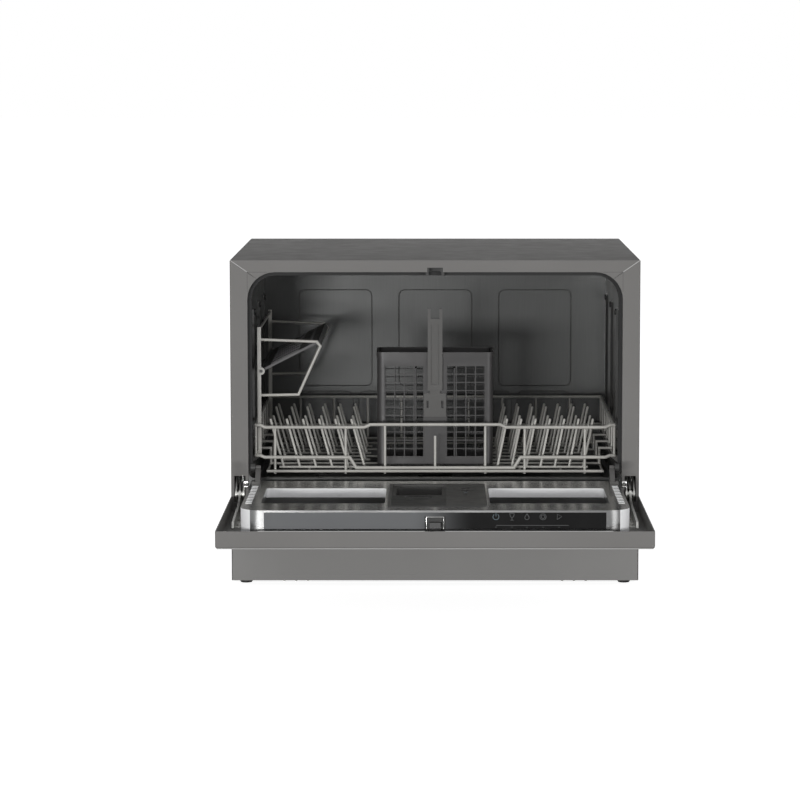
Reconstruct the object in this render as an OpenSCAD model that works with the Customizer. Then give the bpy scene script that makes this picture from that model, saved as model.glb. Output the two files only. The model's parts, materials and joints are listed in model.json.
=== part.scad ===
// Countertop dishwasher with its door folded down open.
// Lengths are in millimetres. +Z is up and +Y runs from the door towards the back.
// The front plane of the cabinet is drawn at y = 0, and set_down() moves every piece so that
// the origin lies on the floor, in the middle of the footprint of the open machine.

/* [Cabinet] */
// Width of the cabinet and of the door
body_w = 550; // [450:1:680]
// Overall height with the feet
body_h = 440; // [400:1:540]
// Depth of the cabinet without the door
body_d = 482; // [440:1:600]
// Height of the feet under the base pan
foot_h = 6; // [4:0.5:12]
// Thickness of the painted steel sheets
sheet = 1.2; // [0.8:0.1:1.6]
// Width of the front flange of a side panel
stile_w = 23.5; // [22:0.5:30]
// Height of the front flange of the top panel
rail_h = 16.5; // [14:0.5:24]
// Height of the plinth above the base pan
plinth_h = 100; // [92:1:100]

/* [Tub] */
// Height of the sill of the tub above the floor
sill_z = 145.5; // [145:0.5:152]
// Corner radius at the top of the opening
opening_r = 37; // [20:1:50]
// Free space between the tub and the back of the cabinet
tub_gap_back = 67; // [50:1:90]
// Thickness of the tub sheet
tub_wall = 1.5; // [1:0.1:2]
// Height of the basin floor above the table
basin_z = 118; // [116:0.5:120]
// Width of the ledge round the basin
basin_ledge = 13; // [8:1:20]
// Depth of the pressed fields of the back wall
press_depth = 1.6; // [0.8:0.2:3]
// Thickness of the door gasket
gasket_t = 5; // [3:0.5:5]
// Height of the upright beads pressed into the side walls
bead_rise = 3; // [1.5:0.25:3.5]

/* [Door] */
// Thickness of the folded outer panel of the door
door_t = 22.5; // [18:0.5:26]
// Thickness of the liner sheet
liner_wall = 1.2; // [0.8:0.1:2]
// Distance that the liner plugs into the tub
liner_plug = 22.5; // [18:0.5:23]
// Clearance between the liner and the tub opening at each side
liner_gap = 5.8; // [5.5:0.1:8]
// Depth of the two recesses in the liner
recess_depth = 12; // [4:0.5:13]
// Radius of the hinge pin
hinge_pin_r = 4; // [3:0.25:4.5]
// Width of the flange in front of the liner
lip_w = 18.8; // [12:0.1:19]

/* [Rack] */
// Radius of the rim and rail wires
rim_r = 2.2; // [1.8:0.1:2.4]
// Radius of the floor wires and tines
tine_r = 1.7; // [1.2:0.1:1.8]
// Height of the top rim of the rack
rack_top_z = 211; // [205:1:225]
// Height of the tips of the tines
tine_top_z = 220; // [200:1:235]
// Distance between two plates on the left
pitch_left = 22; // [18:0.5:26]
// Distance between two plates on the right
pitch_right = 19.5; // [17:0.5:22]

/* [Cutlery basket] */
// Width of the cutlery basket
basket_w = 158; // [120:1:158]
// Depth of the cutlery basket
basket_d = 76; // [60:1:90]
// Height of the cutlery basket
basket_h = 154; // [110:1:158]
// Thickness of its walls
basket_wall = 2.4; // [1.6:0.1:3]

/* [Spray arm] */
// Width of the spray arm at its middle
arm_w = 44; // [30:1:54]
// Thickness of the spray arm
arm_t = 8; // [6:0.5:9]
// Radius of the post that it turns on
arm_post_r = 9; // [6:0.5:11]

/* [Hidden] */
$fn = 48;

// Colours as the photograph shows them
body_grey = [0.48, 0.475, 0.465];
dark_grey = [0.22, 0.22, 0.22];
steel = [0.62, 0.62, 0.61];
zinc = [0.66, 0.66, 0.64];
wire_grey = [0.74, 0.73, 0.70];
rubber = [0.08, 0.08, 0.08];
plastic_grey = [0.30, 0.30, 0.30];
white_plastic = [0.85, 0.85, 0.83];
board_green = [0.07, 0.30, 0.16];

// Clearances
run = 0.05;      // radial, between a pin and its bore
slip = 0.3;      // between a loose piece and what it lies on
guide = 0.2;     // each side of a piece that slides in a channel
weld_gap = 0.03; // between two wires that meet at a weld
cut = 1;         // how far a cutting body reaches past a face

// Main heights and planes
half_w = body_w / 2;
open_hw = half_w - stile_w;
open_top = body_h - rail_h;
base_z = foot_h;
plinth_top = base_z + plinth_h + 0.6;
tub_d = body_d - tub_gap_back;
frame_y = sheet;
seam = 0.4;

// The hinge line, and how a point of the closed door lies when the door is open:
// its height becomes a distance to the front and its depth becomes a height
pivot_y = 1.5;
pivot_z = sill_z - 22;
function open_y(closed_z) = pivot_y - (closed_z - pivot_z);
function open_z(closed_y) = pivot_z + closed_y - pivot_y;

// Door, in its open place
door_skin_z = open_z(-door_t - 1);
door_rim_z = open_z(-1);
door_front_y = open_y(body_h - 3);
door_back_y = -1.5;
door_floor_z = door_skin_z + sheet;
liner_hw = open_hw - liner_gap + 0.3;
liner_top_z = open_z(liner_plug);
liner_front_y = open_y(open_top - gasket_t - 2);
liner_back_y = open_y(sill_z + 2);
liner_r = opening_r - 7;
recess_back_y = liner_back_y - 69.5;
recess_front_y = liner_front_y + 62;

// Basin of the tub
basin_hw = open_hw - basin_ledge;
basin_front = 14;
basin_back = tub_d - basin_ledge;
basin_mid_y = (basin_front + basin_back) / 2;

// Rack
rack_front_y = liner_plug + 11.5;
rack_back_y = tub_d - 30;
rail_x = open_hw - 8.3;
rail_z = sill_z + 26.5;
rack_foot_z = max(liner_top_z, sill_z) + 1.3;
rack_floor_z = rack_foot_z + 3.7;
rack_floor_hw = rail_x - 16;
rack_deck_z = rack_floor_z + 2 * tine_r + weld_gap;
rim_z = rack_top_z + 2.5;
row_pitch = 74;
row_front_y = rack_front_y + 18;
low_z = rack_floor_z + 4.7;
dip_x = 107;
lift_x = 88;
post_x = 68;
riser_x = rack_floor_hw - 1.5;
hook_z = rail_z + rim_r + tine_r - 0.6;
left_tine_x = 21 - rack_floor_hw;
left_tines = 6;
right_tine_x = basket_w / 2 + 6;
right_tines = 7;
tine_rows = [for (i = [0:3]) row_front_y + row_pitch * i];
cross_wire_y = concat([for (i = [0:3]) row_front_y + row_pitch * (i + 0.5)], [rack_back_y - 14]);

// Roller and its bracket on the door
roller_r = 6;
roller_w = 5.8;
roller_pin_r = 2;
roller_y = liner_back_y - 4.5;
roller_z = rail_z - rim_r - slip - roller_r;
roller_x = rail_x + 0.1;
bracket_t = 6.5;

// Sump and the parts in the base
sump_x = 85;
sump_y = basin_mid_y - 58;
sump_r = 58;
cup_r = 33;

// Dispenser, in its open place
disp_x0 = -60;
disp_x1 = 66;
disp_y0 = liner_back_y - 25;
disp_y1 = liner_back_y - 239;
lid_x0 = -56;
lid_x1 = 14;
lid_len = 94;
lid_y0 = disp_y0 - 12;
lid_floor_z = liner_top_z - 3.2;
cap_x = 40;
cap_y = disp_y0 - 52;
cap_r = 15;

// Latch
latch_hw = 7;
latch_z0 = open_z(0);
latch_z1 = open_z(8);
nose_z0 = open_z(frame_y + 0.8);
latch_tip_y = open_y(open_top + 3);

// Hinge
arm_x = half_w - 12;
arm_sheet = 3;
ear_gap = 4;
ear_t = 2;
slot_hw = ear_gap + ear_t + 1.5;
tail_y = pivot_y + 25;
tail_z = pivot_z + 22;
spring_foot_z = base_z + 14;

// Cup shelf
shelf_pin_x = -(open_hw - 13.5);
shelf_pin_z = rail_z + 114;
shelf_out_x = -155.5 - (open_hw - 251.5);
shelf_out_z = shelf_pin_z + 40;
shelf_y0 = rack_front_y + 11;
shelf_y1 = rack_back_y - 55;

// Cutlery basket
basket_y0 = rack_front_y + 28;
basket_z0 = rack_deck_z + tine_r + slip;

// Pipe ends behind the cabinet
stub_len = 16;
inlet_r = 13.2;
spigot_r = 9.5;
gland_r = 11;
gland_hole_r = 4;
inlet_x = -190;
spigot_x = -140;
gland_x = 190;
ports_z = base_z + 46;

// Middle of the footprint of the open machine
y_mid = (door_front_y + body_d + stub_len) / 2;

// Moves a piece from the drawing frame to the frame of the part
module set_down() {
    translate([0, -y_mid, 0]) children();
}

// Draws its children, and for the right-hand piece their mirror image
module handed(side) {
    if (side == "left") {
        children();
    } else {
        mirror([1, 0, 0]) children();
    }
}

// Runs a profile drawn in X and Z from y = a to y = b
module along_y(a, b) {
    translate([0, b, 0]) rotate([90, 0, 0]) linear_extrude(b - a) children();
}

// Runs a profile drawn in Y and Z from x = a to x = b
module along_x(a, b) {
    translate([a, 0, 0]) rotate([90, 0, 90]) linear_extrude(b - a) children();
}

// Runs a profile drawn in X and Y from z = a to z = b
module along_z(a, b) {
    translate([0, 0, a]) linear_extrude(b - a) children();
}

// A box between two corners
module box(low, high) {
    translate(low) cube([high[0] - low[0], high[1] - low[1], high[2] - low[2]]);
}

// Points of a quarter arc about a centre
function arc(centre, r, from, steps = 8) =
    [for (i = [0:steps]) [centre[0] + r * cos(from + 90 * i / steps),
        centre[1] + r * sin(from + 90 * i / steps)]];

// Points of a rectangle with round corners
function round_rect(x0, x1, y0, y1, r, steps = 8) = concat(
    arc([x1 - r, y1 - r], r, 0, steps), arc([x0 + r, y1 - r], r, 90, steps),
    arc([x0 + r, y0 + r], r, 180, steps), arc([x1 - r, y0 + r], r, 270, steps));

// Points of the front opening in X and Z, grown by g: large round corners above, small ones below
function opening(g) = concat(
    arc([open_hw - opening_r, open_top - opening_r], opening_r + g, 0),
    arc([opening_r - open_hw, open_top - opening_r], opening_r + g, 90),
    arc([8 - open_hw, sill_z + 8], 8 + g, 180, 4),
    arc([open_hw - 8, sill_z + 8], 8 + g, 270, 4));

// Rounds the outer edges of the folded cabinet sheets that it is given
module folded_edges() {
    intersection() {
        children();
        along_y(-cut, body_d + cut) polygon(concat([[half_w, base_z - 2], [half_w, body_h - fold_r]],
            arc([half_w - fold_r, body_h - fold_r], fold_r, 0, 5),
            arc([fold_r - half_w, body_h - fold_r], fold_r, 90, 5), [[-half_w, base_z - 2]]));
        along_x(-half_w - cut, half_w + cut) polygon(concat([[body_d + cut, base_z - 2],
            [body_d + cut, body_h + cut], [fold_r, body_h + cut], [fold_r, body_h]],
            arc([fold_r, body_h - fold_r], fold_r, 90, 5), [[0, base_z - 2]]));
        along_z(base_z - 2, body_h + cut) polygon(concat([[half_w, body_d + cut], [-half_w, body_d + cut]],
            arc([fold_r - half_w, fold_r], fold_r, 180, 5), arc([half_w - fold_r, fold_r], fold_r, 270, 5)));
    }
}
fold_r = 1.8;

// A straight round bar from p to q
module bar(p, q, r) {
    d = q - p;
    len = norm(d);
    translate(p) rotate([0, acos(d[2] / len), atan2(d[1], d[0])]) cylinder(h = len, r = r, $fn = 16);
}

// A bent wire through a list of points, with slightly fuller bends
module wire(points, r) {
    for (i = [0:len(points) - 2]) bar(points[i], points[i + 1], r);
    if (len(points) > 2) {
        for (i = [1:len(points) - 2]) translate(points[i]) sphere(r * 1.04, $fn = 16);
    }
}

// Cabinet panels

module top_panel() {
    color(body_grey) set_down() folded_edges() {
        box([-half_w, 0, body_h - sheet], [half_w, body_d, body_h]);
        difference() {
            along_y(0, sheet) polygon([[-half_w, body_h], [half_w, body_h],
                [half_w - 2 * stile_w, body_h - 2 * rail_h], [2 * stile_w - half_w, body_h - 2 * rail_h]]);
            along_y(-cut, sheet + cut) polygon(opening(0));
            box([-10.5, -cut, open_top - 8], [10.5, sheet + cut, open_top + 6]);
        }
        for (s = [-1, 1]) {
            box([s * (half_w - sheet - 1.5) - 0.6, 8, body_h - 14],
                [s * (half_w - sheet - 1.5) + 0.6, body_d - 8, body_h - sheet + 0.4]);
        }
    }
}

module side_panel(side) {
    color(body_grey) set_down() handed(side) folded_edges() {
        box([-half_w, 0, base_z], [sheet - half_w, body_d, body_h - sheet]);
        difference() {
            along_y(0, sheet) polygon([[-half_w, body_h - sheet], [-half_w + 0.5, body_h - sheet],
                [2 * stile_w - half_w, body_h - 2 * rail_h - seam],
                [2 * stile_w - half_w, open_top - opening_r - 6],
                [-open_hw, open_top - opening_r - 6], [-open_hw, plinth_top], [-half_w, plinth_top]]);
            along_y(-cut, sheet + cut) polygon(opening(0));
            box([-arm_x - slot_hw, -cut, pivot_z - 10], [slot_hw - arm_x, sheet + cut, pivot_z + 25]);
        }
        difference() {
            box([-half_w + 0.2, body_d - 2 * sheet - 0.1, base_z + 17],
                [18 - half_w, body_d - sheet - 0.1, body_h - 16]);
            screw_holes();
        }
    }
}

module back_panel() {
    color(body_grey) set_down() {
        x1 = half_w - sheet - 0.4;
        difference() {
            union() {
                box([-x1, body_d - sheet, base_z + 1], [x1, body_d, body_h - sheet - 0.4]);
                box([-x1 + 30, body_d - sheet - 2, base_z + 110], [x1 - 30, body_d - 0.4, body_h - 40]);
            }
            box([-x1 + 31.2, body_d - 2, base_z + 111.2], [x1 - 31.2, body_d + cut, body_h - 41.2]);
            for (s = [-1, 1]) {
                for (i = [0:6]) {
                    box([s * 95 - 26, body_d - 5, base_z + 62 + 6 * i],
                        [s * 95 + 26, body_d + cut, base_z + 64.5 + 6 * i]);
                }
            }
            screw_holes();
            for (p = [[inlet_x, inlet_r + 2], [spigot_x, spigot_r + 2], [gland_x, gland_r - 1.5]]) {
                translate([p[0], body_d + cut, ports_z]) rotate([90, 0, 0]) cylinder(h = 8, r = p[1]);
            }
        }
    }
}

module base_pan() {
    color(zinc) set_down() {
        x1 = half_w - sheet - 0.3;
        y1 = body_d - sheet - 0.3;
        difference() {
            box([-x1, sheet + 0.3, base_z], [x1, y1, base_z + 16]);
            box([2 - x1, sheet + 2.3, base_z + 2], [x1 - 2, y1 - 2, base_z + 17]);
            for (s = [-1, 1]) {
                for (y = [foot_y0, foot_y1]) {
                    translate([s * foot_x, y, base_z - cut]) cylinder(h = 6, r = 3.2);
                }
            }
        }
        for (s = [-1, 1]) {
            for (i = [0:2]) {
                box([s * (188 + 16 * (i - 1)) - 1.5, 4, base_z - 1.6],
                    [s * (188 + 16 * (i - 1)) + 1.5, 60, base_z + 0.4]);
            }
        }
        for (y = [80, 172, 290, 380]) {
            box([-x1 + 60, y - 3, base_z + 1.5], [x1 - 60, y + 3, base_z + 5]);
        }
    }
}
foot_x = half_w - 18.5;
foot_y0 = 25;
foot_y1 = body_d - 30;
foot_r = 8.5;

module plinth_panel() {
    color(body_grey) set_down() {
        x1 = half_w - sheet - 0.3;
        box([-x1, 0, base_z], [x1, sheet, plinth_top - seam]);
        box([-x1, 0, base_z], [x1, sheet + 0.2, base_z + 10]);
        box([-x1 + 30, sheet - 0.2, plinth_top - seam - sheet], [x1 - 30, 14, plinth_top - seam]);
    }
}

// One foot with its threaded stud
module foot(x, y) {
    color(rubber) set_down() translate([x, y, 0]) {
        cylinder(h = 1.5, r1 = foot_r - 1, r2 = foot_r);
        translate([0, 0, 1.5]) cylinder(h = base_z - 1.5, r = foot_r);
        translate([0, 0, base_z - cut]) cylinder(h = cut + 2, r = 3);
    }
}

// Where the screws of the back panel sit
screw_places = [for (x = [9 - half_w, half_w - 9]) for (z = [base_z + 24, body_h / 2, body_h - 28]) [x, z]];
screw_r = 1.9;

module screw_holes() {
    for (p = screw_places) {
        translate([p[0], body_d + cut, p[1]]) rotate([90, 0, 0]) cylinder(h = 8, r = screw_r + 0.1);
    }
}

module case_screws() {
    color(zinc) set_down() for (p = screw_places) {
        translate([p[0], body_d + 2, p[1]]) rotate([90, 0, 0]) cylinder(h = 2, r = 3.8);
        translate([p[0], body_d + 0.5, p[1]]) rotate([90, 0, 0]) cylinder(h = 9, r = screw_r);
    }
}

// Tub and what is fixed to it

// The pressed fields of the back wall, as [x0, x1, z0, z1]
field_top = open_top - 55;
field_mid = sill_z + 81;
fields = [
    [-200, -93, field_mid, field_top], [-53.5, 54, field_mid, field_top], [93.5, 200, field_mid, field_top],
    [-200, -121, sill_z + 12, field_mid - 8], [-113, 113, sill_z + 12, field_mid - 8],
    [121, 200, sill_z + 12, field_mid - 8]
];
field_scale = open_hw / 251.5;

// Upright beads of the side walls, flattened towards the wall, with a sloping upper end
bead_y = [for (i = [0:2]) tub_d * (0.265 + 0.31 * i)];
bead_top = open_top - 59;

module beads(side) {
    foot = rail_z + 26;
    for (y = bead_y) handed(side) {
        along_z(foot, bead_top) polygon([[-open_hw - 0.4, y - 6], [bead_rise - open_hw, y - 3],
            [bead_rise - open_hw, y + 3], [-open_hw - 0.4, y + 6]]);
        along_y(y - 3.5, y + 3.5) polygon([[-open_hw - 0.4, bead_top - 1], [bead_rise - open_hw, bead_top - 1],
            [-open_hw + 0.3, bead_top + 5], [-open_hw - 0.4, bead_top + 5]]);
    }
}

module tub() {
    color(steel) set_down() beads("left");
    color(steel) set_down() beads("right");
    color(steel) set_down() difference() {
        union() {
            along_y(frame_y, tub_d + tub_wall) polygon(opening(tub_wall));
            along_y(frame_y, frame_y + tub_wall) polygon(opening(4));
            box([-basin_hw - tub_wall, basin_front - tub_wall, basin_z - tub_wall],
                [basin_hw + tub_wall, basin_back + tub_wall, sill_z + 10]);
            box([seam - open_hw, 0, plinth_top], [open_hw - seam, tub_wall, sill_z]);
            for (f = fields) {
                box([f[0] * field_scale - tub_wall, tub_d, f[2] - tub_wall],
                    [f[1] * field_scale + tub_wall, tub_d + press_depth + tub_wall, f[3] + tub_wall]);
            }
        }
        along_y(-cut, tub_d) polygon(opening(0));
        box([-basin_hw, basin_front, basin_z], [basin_hw, basin_back, sill_z + 12]);
        for (f = fields) {
            along_y(tub_d - cut, tub_d + press_depth)
                polygon(round_rect(f[0] * field_scale, f[1] * field_scale, f[2], f[3], 9, 4));
        }
        box([-14.3, -cut, open_top - 3], [14.3, 23, open_top + 8]);
        translate([sump_x, sump_y, basin_z - 5]) cylinder(h = 10, r = sump_r);
        translate([0, basin_mid_y, basin_z - 5]) cylinder(h = 10, r = 14);
    }
}

module door_gasket() {
    color(rubber) set_down() difference() {
        along_y(10, 17) polygon(opening(0));
        along_y(10 - cut, 17 + cut) polygon(opening(-gasket_t));
        along_y(12, 15) polygon(opening(-gasket_t + 2));
        box([-open_hw - cut, 9, sill_z - cut], [open_hw + cut, 18, sill_z + 8]);
    }
}

module door_strike() {
    color(rubber) set_down() difference() {
        union() {
            box([-14, frame_y, open_top + 0.3], [14, 22, open_top + 13]);
            for (s = [-1, 1]) {
                box([s * 10.5 - 2, frame_y, open_top - 5], [s * 10.5 + 2, 8.5, open_top + 1]);
            }
        }
        box([-8, frame_y - cut, open_top - cut], [8, 14, open_top + 10.5]);
    }
}

// Rail that carries the side of the rack
module runner(side) {
    color(plastic_grey) set_down() handed(side) {
        z1 = rail_z - rim_r - slip;
        y0 = roller_clear_y;
        y1 = tub_d - 12;
        along_y(y0, y1) polygon([[-open_hw, z1 - 9], [-open_hw, z1 + 14],
            [-open_hw + 1.6, z1 + 14], [-open_hw + 1.6, z1],
            [-open_hw + 12, z1], [-open_hw + 12, z1 - 2.4], [-open_hw + 3.5, z1 - 9]]);
        box([-open_hw + 0.8, y1 - 4, z1 - 5], [-open_hw + 12, y1, z1 + 12]);
    }
}
roller_clear_y = 54;

module sump() {
    color(dark_grey) set_down() difference() {
        union() {
            translate([sump_x, sump_y, 62]) cylinder(h = basin_z - tub_wall - 62, r = sump_r - 8);
            translate([sump_x, sump_y, basin_z - tub_wall - 4]) cylinder(h = 4, r = sump_r + 7);
            translate([sump_x, sump_y, 34]) cylinder(h = 30, r1 = 30, r2 = sump_r - 9);
            translate([sump_x - sump_r - 4, sump_y - 14, pump_z]) rotate([0, 90, 0]) cylinder(h = 30, r = 15);
            translate([sump_x + 4, sump_y + 30, 46]) rotate([-90, 0, 0]) cylinder(h = 38, r = 10);
        }
        translate([sump_x, sump_y, 66]) cylinder(h = 70, r = sump_r - 11);
        translate([sump_x, sump_y, 38]) cylinder(h = 30, r1 = 27, r2 = sump_r - 13);
        translate([sump_x - sump_r - 6, sump_y - 14, pump_z]) rotate([0, 90, 0]) cylinder(h = 60, r = 12);
    }
}
pump_z = 78;

module filter_plate() {
    color(steel) set_down() translate([sump_x, sump_y, basin_z]) difference() {
        union() {
            cylinder(h = 1.4, r = sump_r + 8);
            cylinder(h = 3, r = cup_r + 5);
        }
        translate([0, 0, -cut]) cylinder(h = 6, r = cup_r + 0.4);
        for (ring = [0, 1]) {
            for (i = [0:23]) {
                rotate([0, 0, 15 * i + 7.5 * ring]) translate([cup_r + 11 + 8 * ring, 0, -cut])
                    cylinder(h = 4, r = 1.5, $fn = 16);
            }
        }
    }
}

module filter_cup() {
    color(plastic_grey) set_down() translate([sump_x, sump_y, 0]) {
        difference() {
            union() {
                translate([0, 0, 80]) cylinder(h = basin_z - 80 + 3, r = cup_r);
                translate([0, 0, basin_z + 3.3]) cylinder(h = 2, r = cup_r + 3);
                translate([0, 0, basin_z]) cylinder(h = 4, r = cup_r);
            }
            translate([0, 0, 83]) cylinder(h = 60, r = cup_r - 2.5);
            for (i = [0:7]) {
                for (z = [88, 97, 106]) {
                    rotate([0, 0, 45 * i]) translate([cup_r - 8, -4, z]) cube([12, 8, 5]);
                }
            }
        }
        box([-cup_r + 1, -2, basin_z - 2], [cup_r - 1, 2, basin_z + 5.3]);
    }
}

module spray_hub() {
    color(plastic_grey) set_down() translate([0, basin_mid_y, 0]) difference() {
        union() {
            translate([0, 0, basin_z]) cylinder(h = 4, r = 24);
            translate([0, 0, basin_z - 12]) cylinder(h = 12.5, r = 13.6);
            translate([0, 0, basin_z + 3]) cylinder(h = arm_t + 10, r = arm_post_r);
            translate([0, 0, basin_z + 8.6 + arm_t]) cylinder(h = 5, r1 = arm_post_r + 5, r2 = arm_post_r + 2);
        }
        translate([0, 0, basin_z - 14]) cylinder(h = arm_t + 14, r = arm_post_r - 2.5);
    }
}

module spray_arm() {
    reach = min(basin_back - basin_mid_y, basin_hw) - 14;
    color(plastic_grey) set_down() translate([0, basin_mid_y, basin_z + 7]) rotate([0, 0, 24]) difference() {
        union() {
            cylinder(h = arm_t, r = arm_w / 2);
            for (s = [0, 180]) {
                rotate([0, 0, s]) linear_extrude(arm_t - 1) polygon([
                    [-3, -arm_w / 2 + 6], [4, -arm_w / 2 + 4], [reach * 0.45, -15], [reach - 8, -11],
                    [reach, -5], [reach, 5], [reach - 8, 11], [reach * 0.45, 16], [4, arm_w / 2 - 3],
                    [-3, arm_w / 2 - 6]]);
                rotate([0, 0, s]) box([16, -3, arm_t - 1.4], [reach - 16, 3, arm_t + 0.6]);
            }
        }
        translate([0, 0, -cut]) cylinder(h = arm_t + 4, r = arm_post_r + run);
        for (s = [0, 180]) {
            for (i = [0:3]) {
                rotate([0, 0, s]) translate([44 + 32 * i, i % 2 == 0 ? 8 : -7, arm_t - 4])
                    cylinder(h = 8, r = 1.5);
            }
        }
    }
}

module circulation_pump() {
    x1 = sump_x - sump_r - 4;
    y = sump_y - 14;
    color(dark_grey) set_down() {
        translate([x1 - 26, y, pump_z]) rotate([0, 90, 0]) cylinder(h = 25.7, r = 30);
        translate([x1 - 116, y, pump_z - 4]) rotate([0, 90, 0]) cylinder(h = 91, r = 27);
        translate([x1 - 124, y, pump_z - 4]) rotate([0, 90, 0]) cylinder(h = 10, r = 9);
        box([x1 - 100, y - 16, base_z + 5], [x1 - 40, y + 16, pump_z - 20]);
        translate([x1 - 14, y + 20, pump_z]) rotate([-90, 0, 0]) cylinder(h = 22, r = 9);
    }
}

module heater() {
    x1 = sump_x - sump_r - 4;
    y = basin_mid_y;
    color(steel) set_down() {
        translate([x1 - 90, y, pump_z - 26]) rotate([0, 90, 0]) cylinder(h = 100, r = 19);
        translate([0, y, pump_z - 12]) cylinder(h = basin_z - 12.3 - pump_z + 12, r = 10);
        for (x = [x1 - 60, x1 - 10]) {
            box([x - 3, y - 12, base_z + 2], [x + 3, y + 12, pump_z - 36]);
        }
    }
}

module drain_pump() {
    color(plastic_grey) set_down() {
        translate([sump_x + 4, sump_y + 68.3, 46]) rotate([-90, 0, 0]) cylinder(h = 18, r = 20);
        translate([sump_x + 4, sump_y + 86, 46]) rotate([-90, 0, 0]) cylinder(h = 42, r = 16);
        box([sump_x - 8, sump_y + 72, base_z + 2], [sump_x + 16, sump_y + 120, 36]);
    }
}

module inlet_valve() {
    color(white_plastic) set_down() {
        translate([inlet_x, body_d + stub_len, ports_z]) rotate([90, 0, 0]) difference() {
            cylinder(h = stub_len + 8, r = inlet_r);
            translate([0, 0, -cut]) cylinder(h = 20, r = 8);
        }
        translate([inlet_x, body_d - sheet - 0.1, ports_z]) rotate([90, 0, 0]) cylinder(h = 6, r = inlet_r + 6);
        box([inlet_x - 16, body_d - 52, ports_z - 14], [inlet_x + 16, body_d - 6, ports_z + 14]);
        translate([inlet_x, body_d - 34, ports_z + 13]) cylinder(h = 24, r = 13);
    }
}

module drain_spigot() {
    color(dark_grey) set_down() {
        translate([spigot_x, body_d + stub_len, ports_z]) rotate([90, 0, 0]) difference() {
            union() {
                cylinder(h = stub_len + 3, r = spigot_r);
                cylinder(h = stub_len + 14, r = spigot_r - 0.8);
            }
            translate([0, 0, -cut]) cylinder(h = stub_len + 8, r = spigot_r - 2.2);
        }
        translate([spigot_x, body_d - sheet - 0.1, ports_z]) rotate([90, 0, 0])
            cylinder(h = 5, r = spigot_r + 6);
    }
}

module cord_gland() {
    color(rubber) set_down() translate([gland_x, body_d, ports_z]) rotate([90, 0, 0]) difference() {
        union() {
            translate([0, 0, -5]) cylinder(h = 5, r1 = gland_r - 1, r2 = gland_r + 2);
            translate([0, 0, -0.5]) cylinder(h = 5, r = gland_r - 1.7);
            translate([0, 0, sheet + 0.1]) cylinder(h = 9, r1 = gland_r + 2, r2 = gland_r);
        }
        translate([0, 0, -6]) cylinder(h = 24, r = gland_hole_r);
    }
}

module air_break() {
    color(white_plastic) set_down() difference() {
        box([-half_w + sheet + 0.3, 70, sill_z + 40], [-open_hw - tub_wall - 1.3, 300, open_top - 50]);
        for (i = [0:4]) {
            box([-half_w + sheet - cut, 84 + 42 * i, sill_z + 52],
                [-half_w + sheet + 3, 118 + 42 * i, open_top - 62]);
        }
    }
}

module sound_mat() {
    color(dark_grey) set_down() {
        box([-open_hw + opening_r, 26, open_top + tub_wall],
            [open_hw - opening_r, tub_d - 6, open_top + tub_wall + 5]);
    }
}

// Hinge

module hinge_bracket(side) {
    x0 = -arm_x - ear_gap - ear_t;
    x1 = -arm_x + ear_gap + ear_t;
    color(zinc) set_down() handed(side) {
        difference() {
            union() {
                for (x = [x0, x1 - ear_t]) {
                    along_x(x, x + ear_t) {
                        translate([pivot_y, pivot_z]) circle(r = hinge_pin_r + 3.4);
                        polygon([[pivot_y - 3, pivot_z - 6.6], [14, pivot_z - 24],
                            [46, pivot_z - 24], [46, pivot_z + 26], [14, pivot_z + 26], [pivot_y - 3, pivot_z + 6.6]]);
                    }
                }
                box([x0, 44, pivot_z - 24], [x1, 46, pivot_z + 26]);
            }
            translate([x0 - cut, pivot_y, pivot_z]) rotate([0, 90, 0])
                cylinder(h = x1 - x0 + 2 * cut, r = hinge_pin_r + run);
        }
        box([x0, 44, base_z + 2], [x1, 46, pivot_z - 23]);
        box([x0, tail_y - 8, base_z + 2], [x1, 46, base_z + 4]);
        along_x(-arm_x - 1, -arm_x + 1) difference() {
            translate([tail_y - 4, base_z + 3.5]) square([8, spring_foot_z - base_z - 3.5]);
            translate([tail_y, spring_foot_z - 5]) circle(r = 1.6);
        }
    }
}

module hinge_arm(side) {
    color(zinc) set_down() handed(side) {
        along_x(-arm_x - arm_sheet / 2, -arm_x + arm_sheet / 2) difference() {
            union() {
                translate([pivot_y, pivot_z]) circle(r = 7);
                translate([tail_y, tail_z]) circle(r = 4.5);
                polygon([[pivot_y - 4, pivot_z + 3], [pivot_y + 4, pivot_z - 4], [tail_y + 3, tail_z - 2.6],
                    [tail_y - 3, tail_z + 3]]);
                polygon([[pivot_y + 3, pivot_z - 5.5], [pivot_y - 4, pivot_z + 5], [-14, pivot_z - 4],
                    [-42, door_floor_z + 14], [-150, door_floor_z + 9], [-154, door_floor_z + 1.2],
                    [-150, door_floor_z + 0.2], [-16, door_floor_z + 0.2]]);
            }
            translate([tail_y, tail_z]) circle(r = 1.6);
        }
        translate([-arm_x - ear_gap - ear_t - 0.5, pivot_y, pivot_z]) rotate([0, 90, 0])
            cylinder(h = 2 * ear_gap + 2 * ear_t + 1, r = hinge_pin_r);
        box([-arm_x - arm_sheet / 2, -150, door_floor_z + 0.1], [-arm_x + 12, -30, door_floor_z + 1.9]);
        for (y = [-134, -90, -46]) {
            translate([-arm_x + 7, y, door_floor_z + 1.5]) cylinder(h = 2.4, r = 3.4);
        }
    }
}

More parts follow.
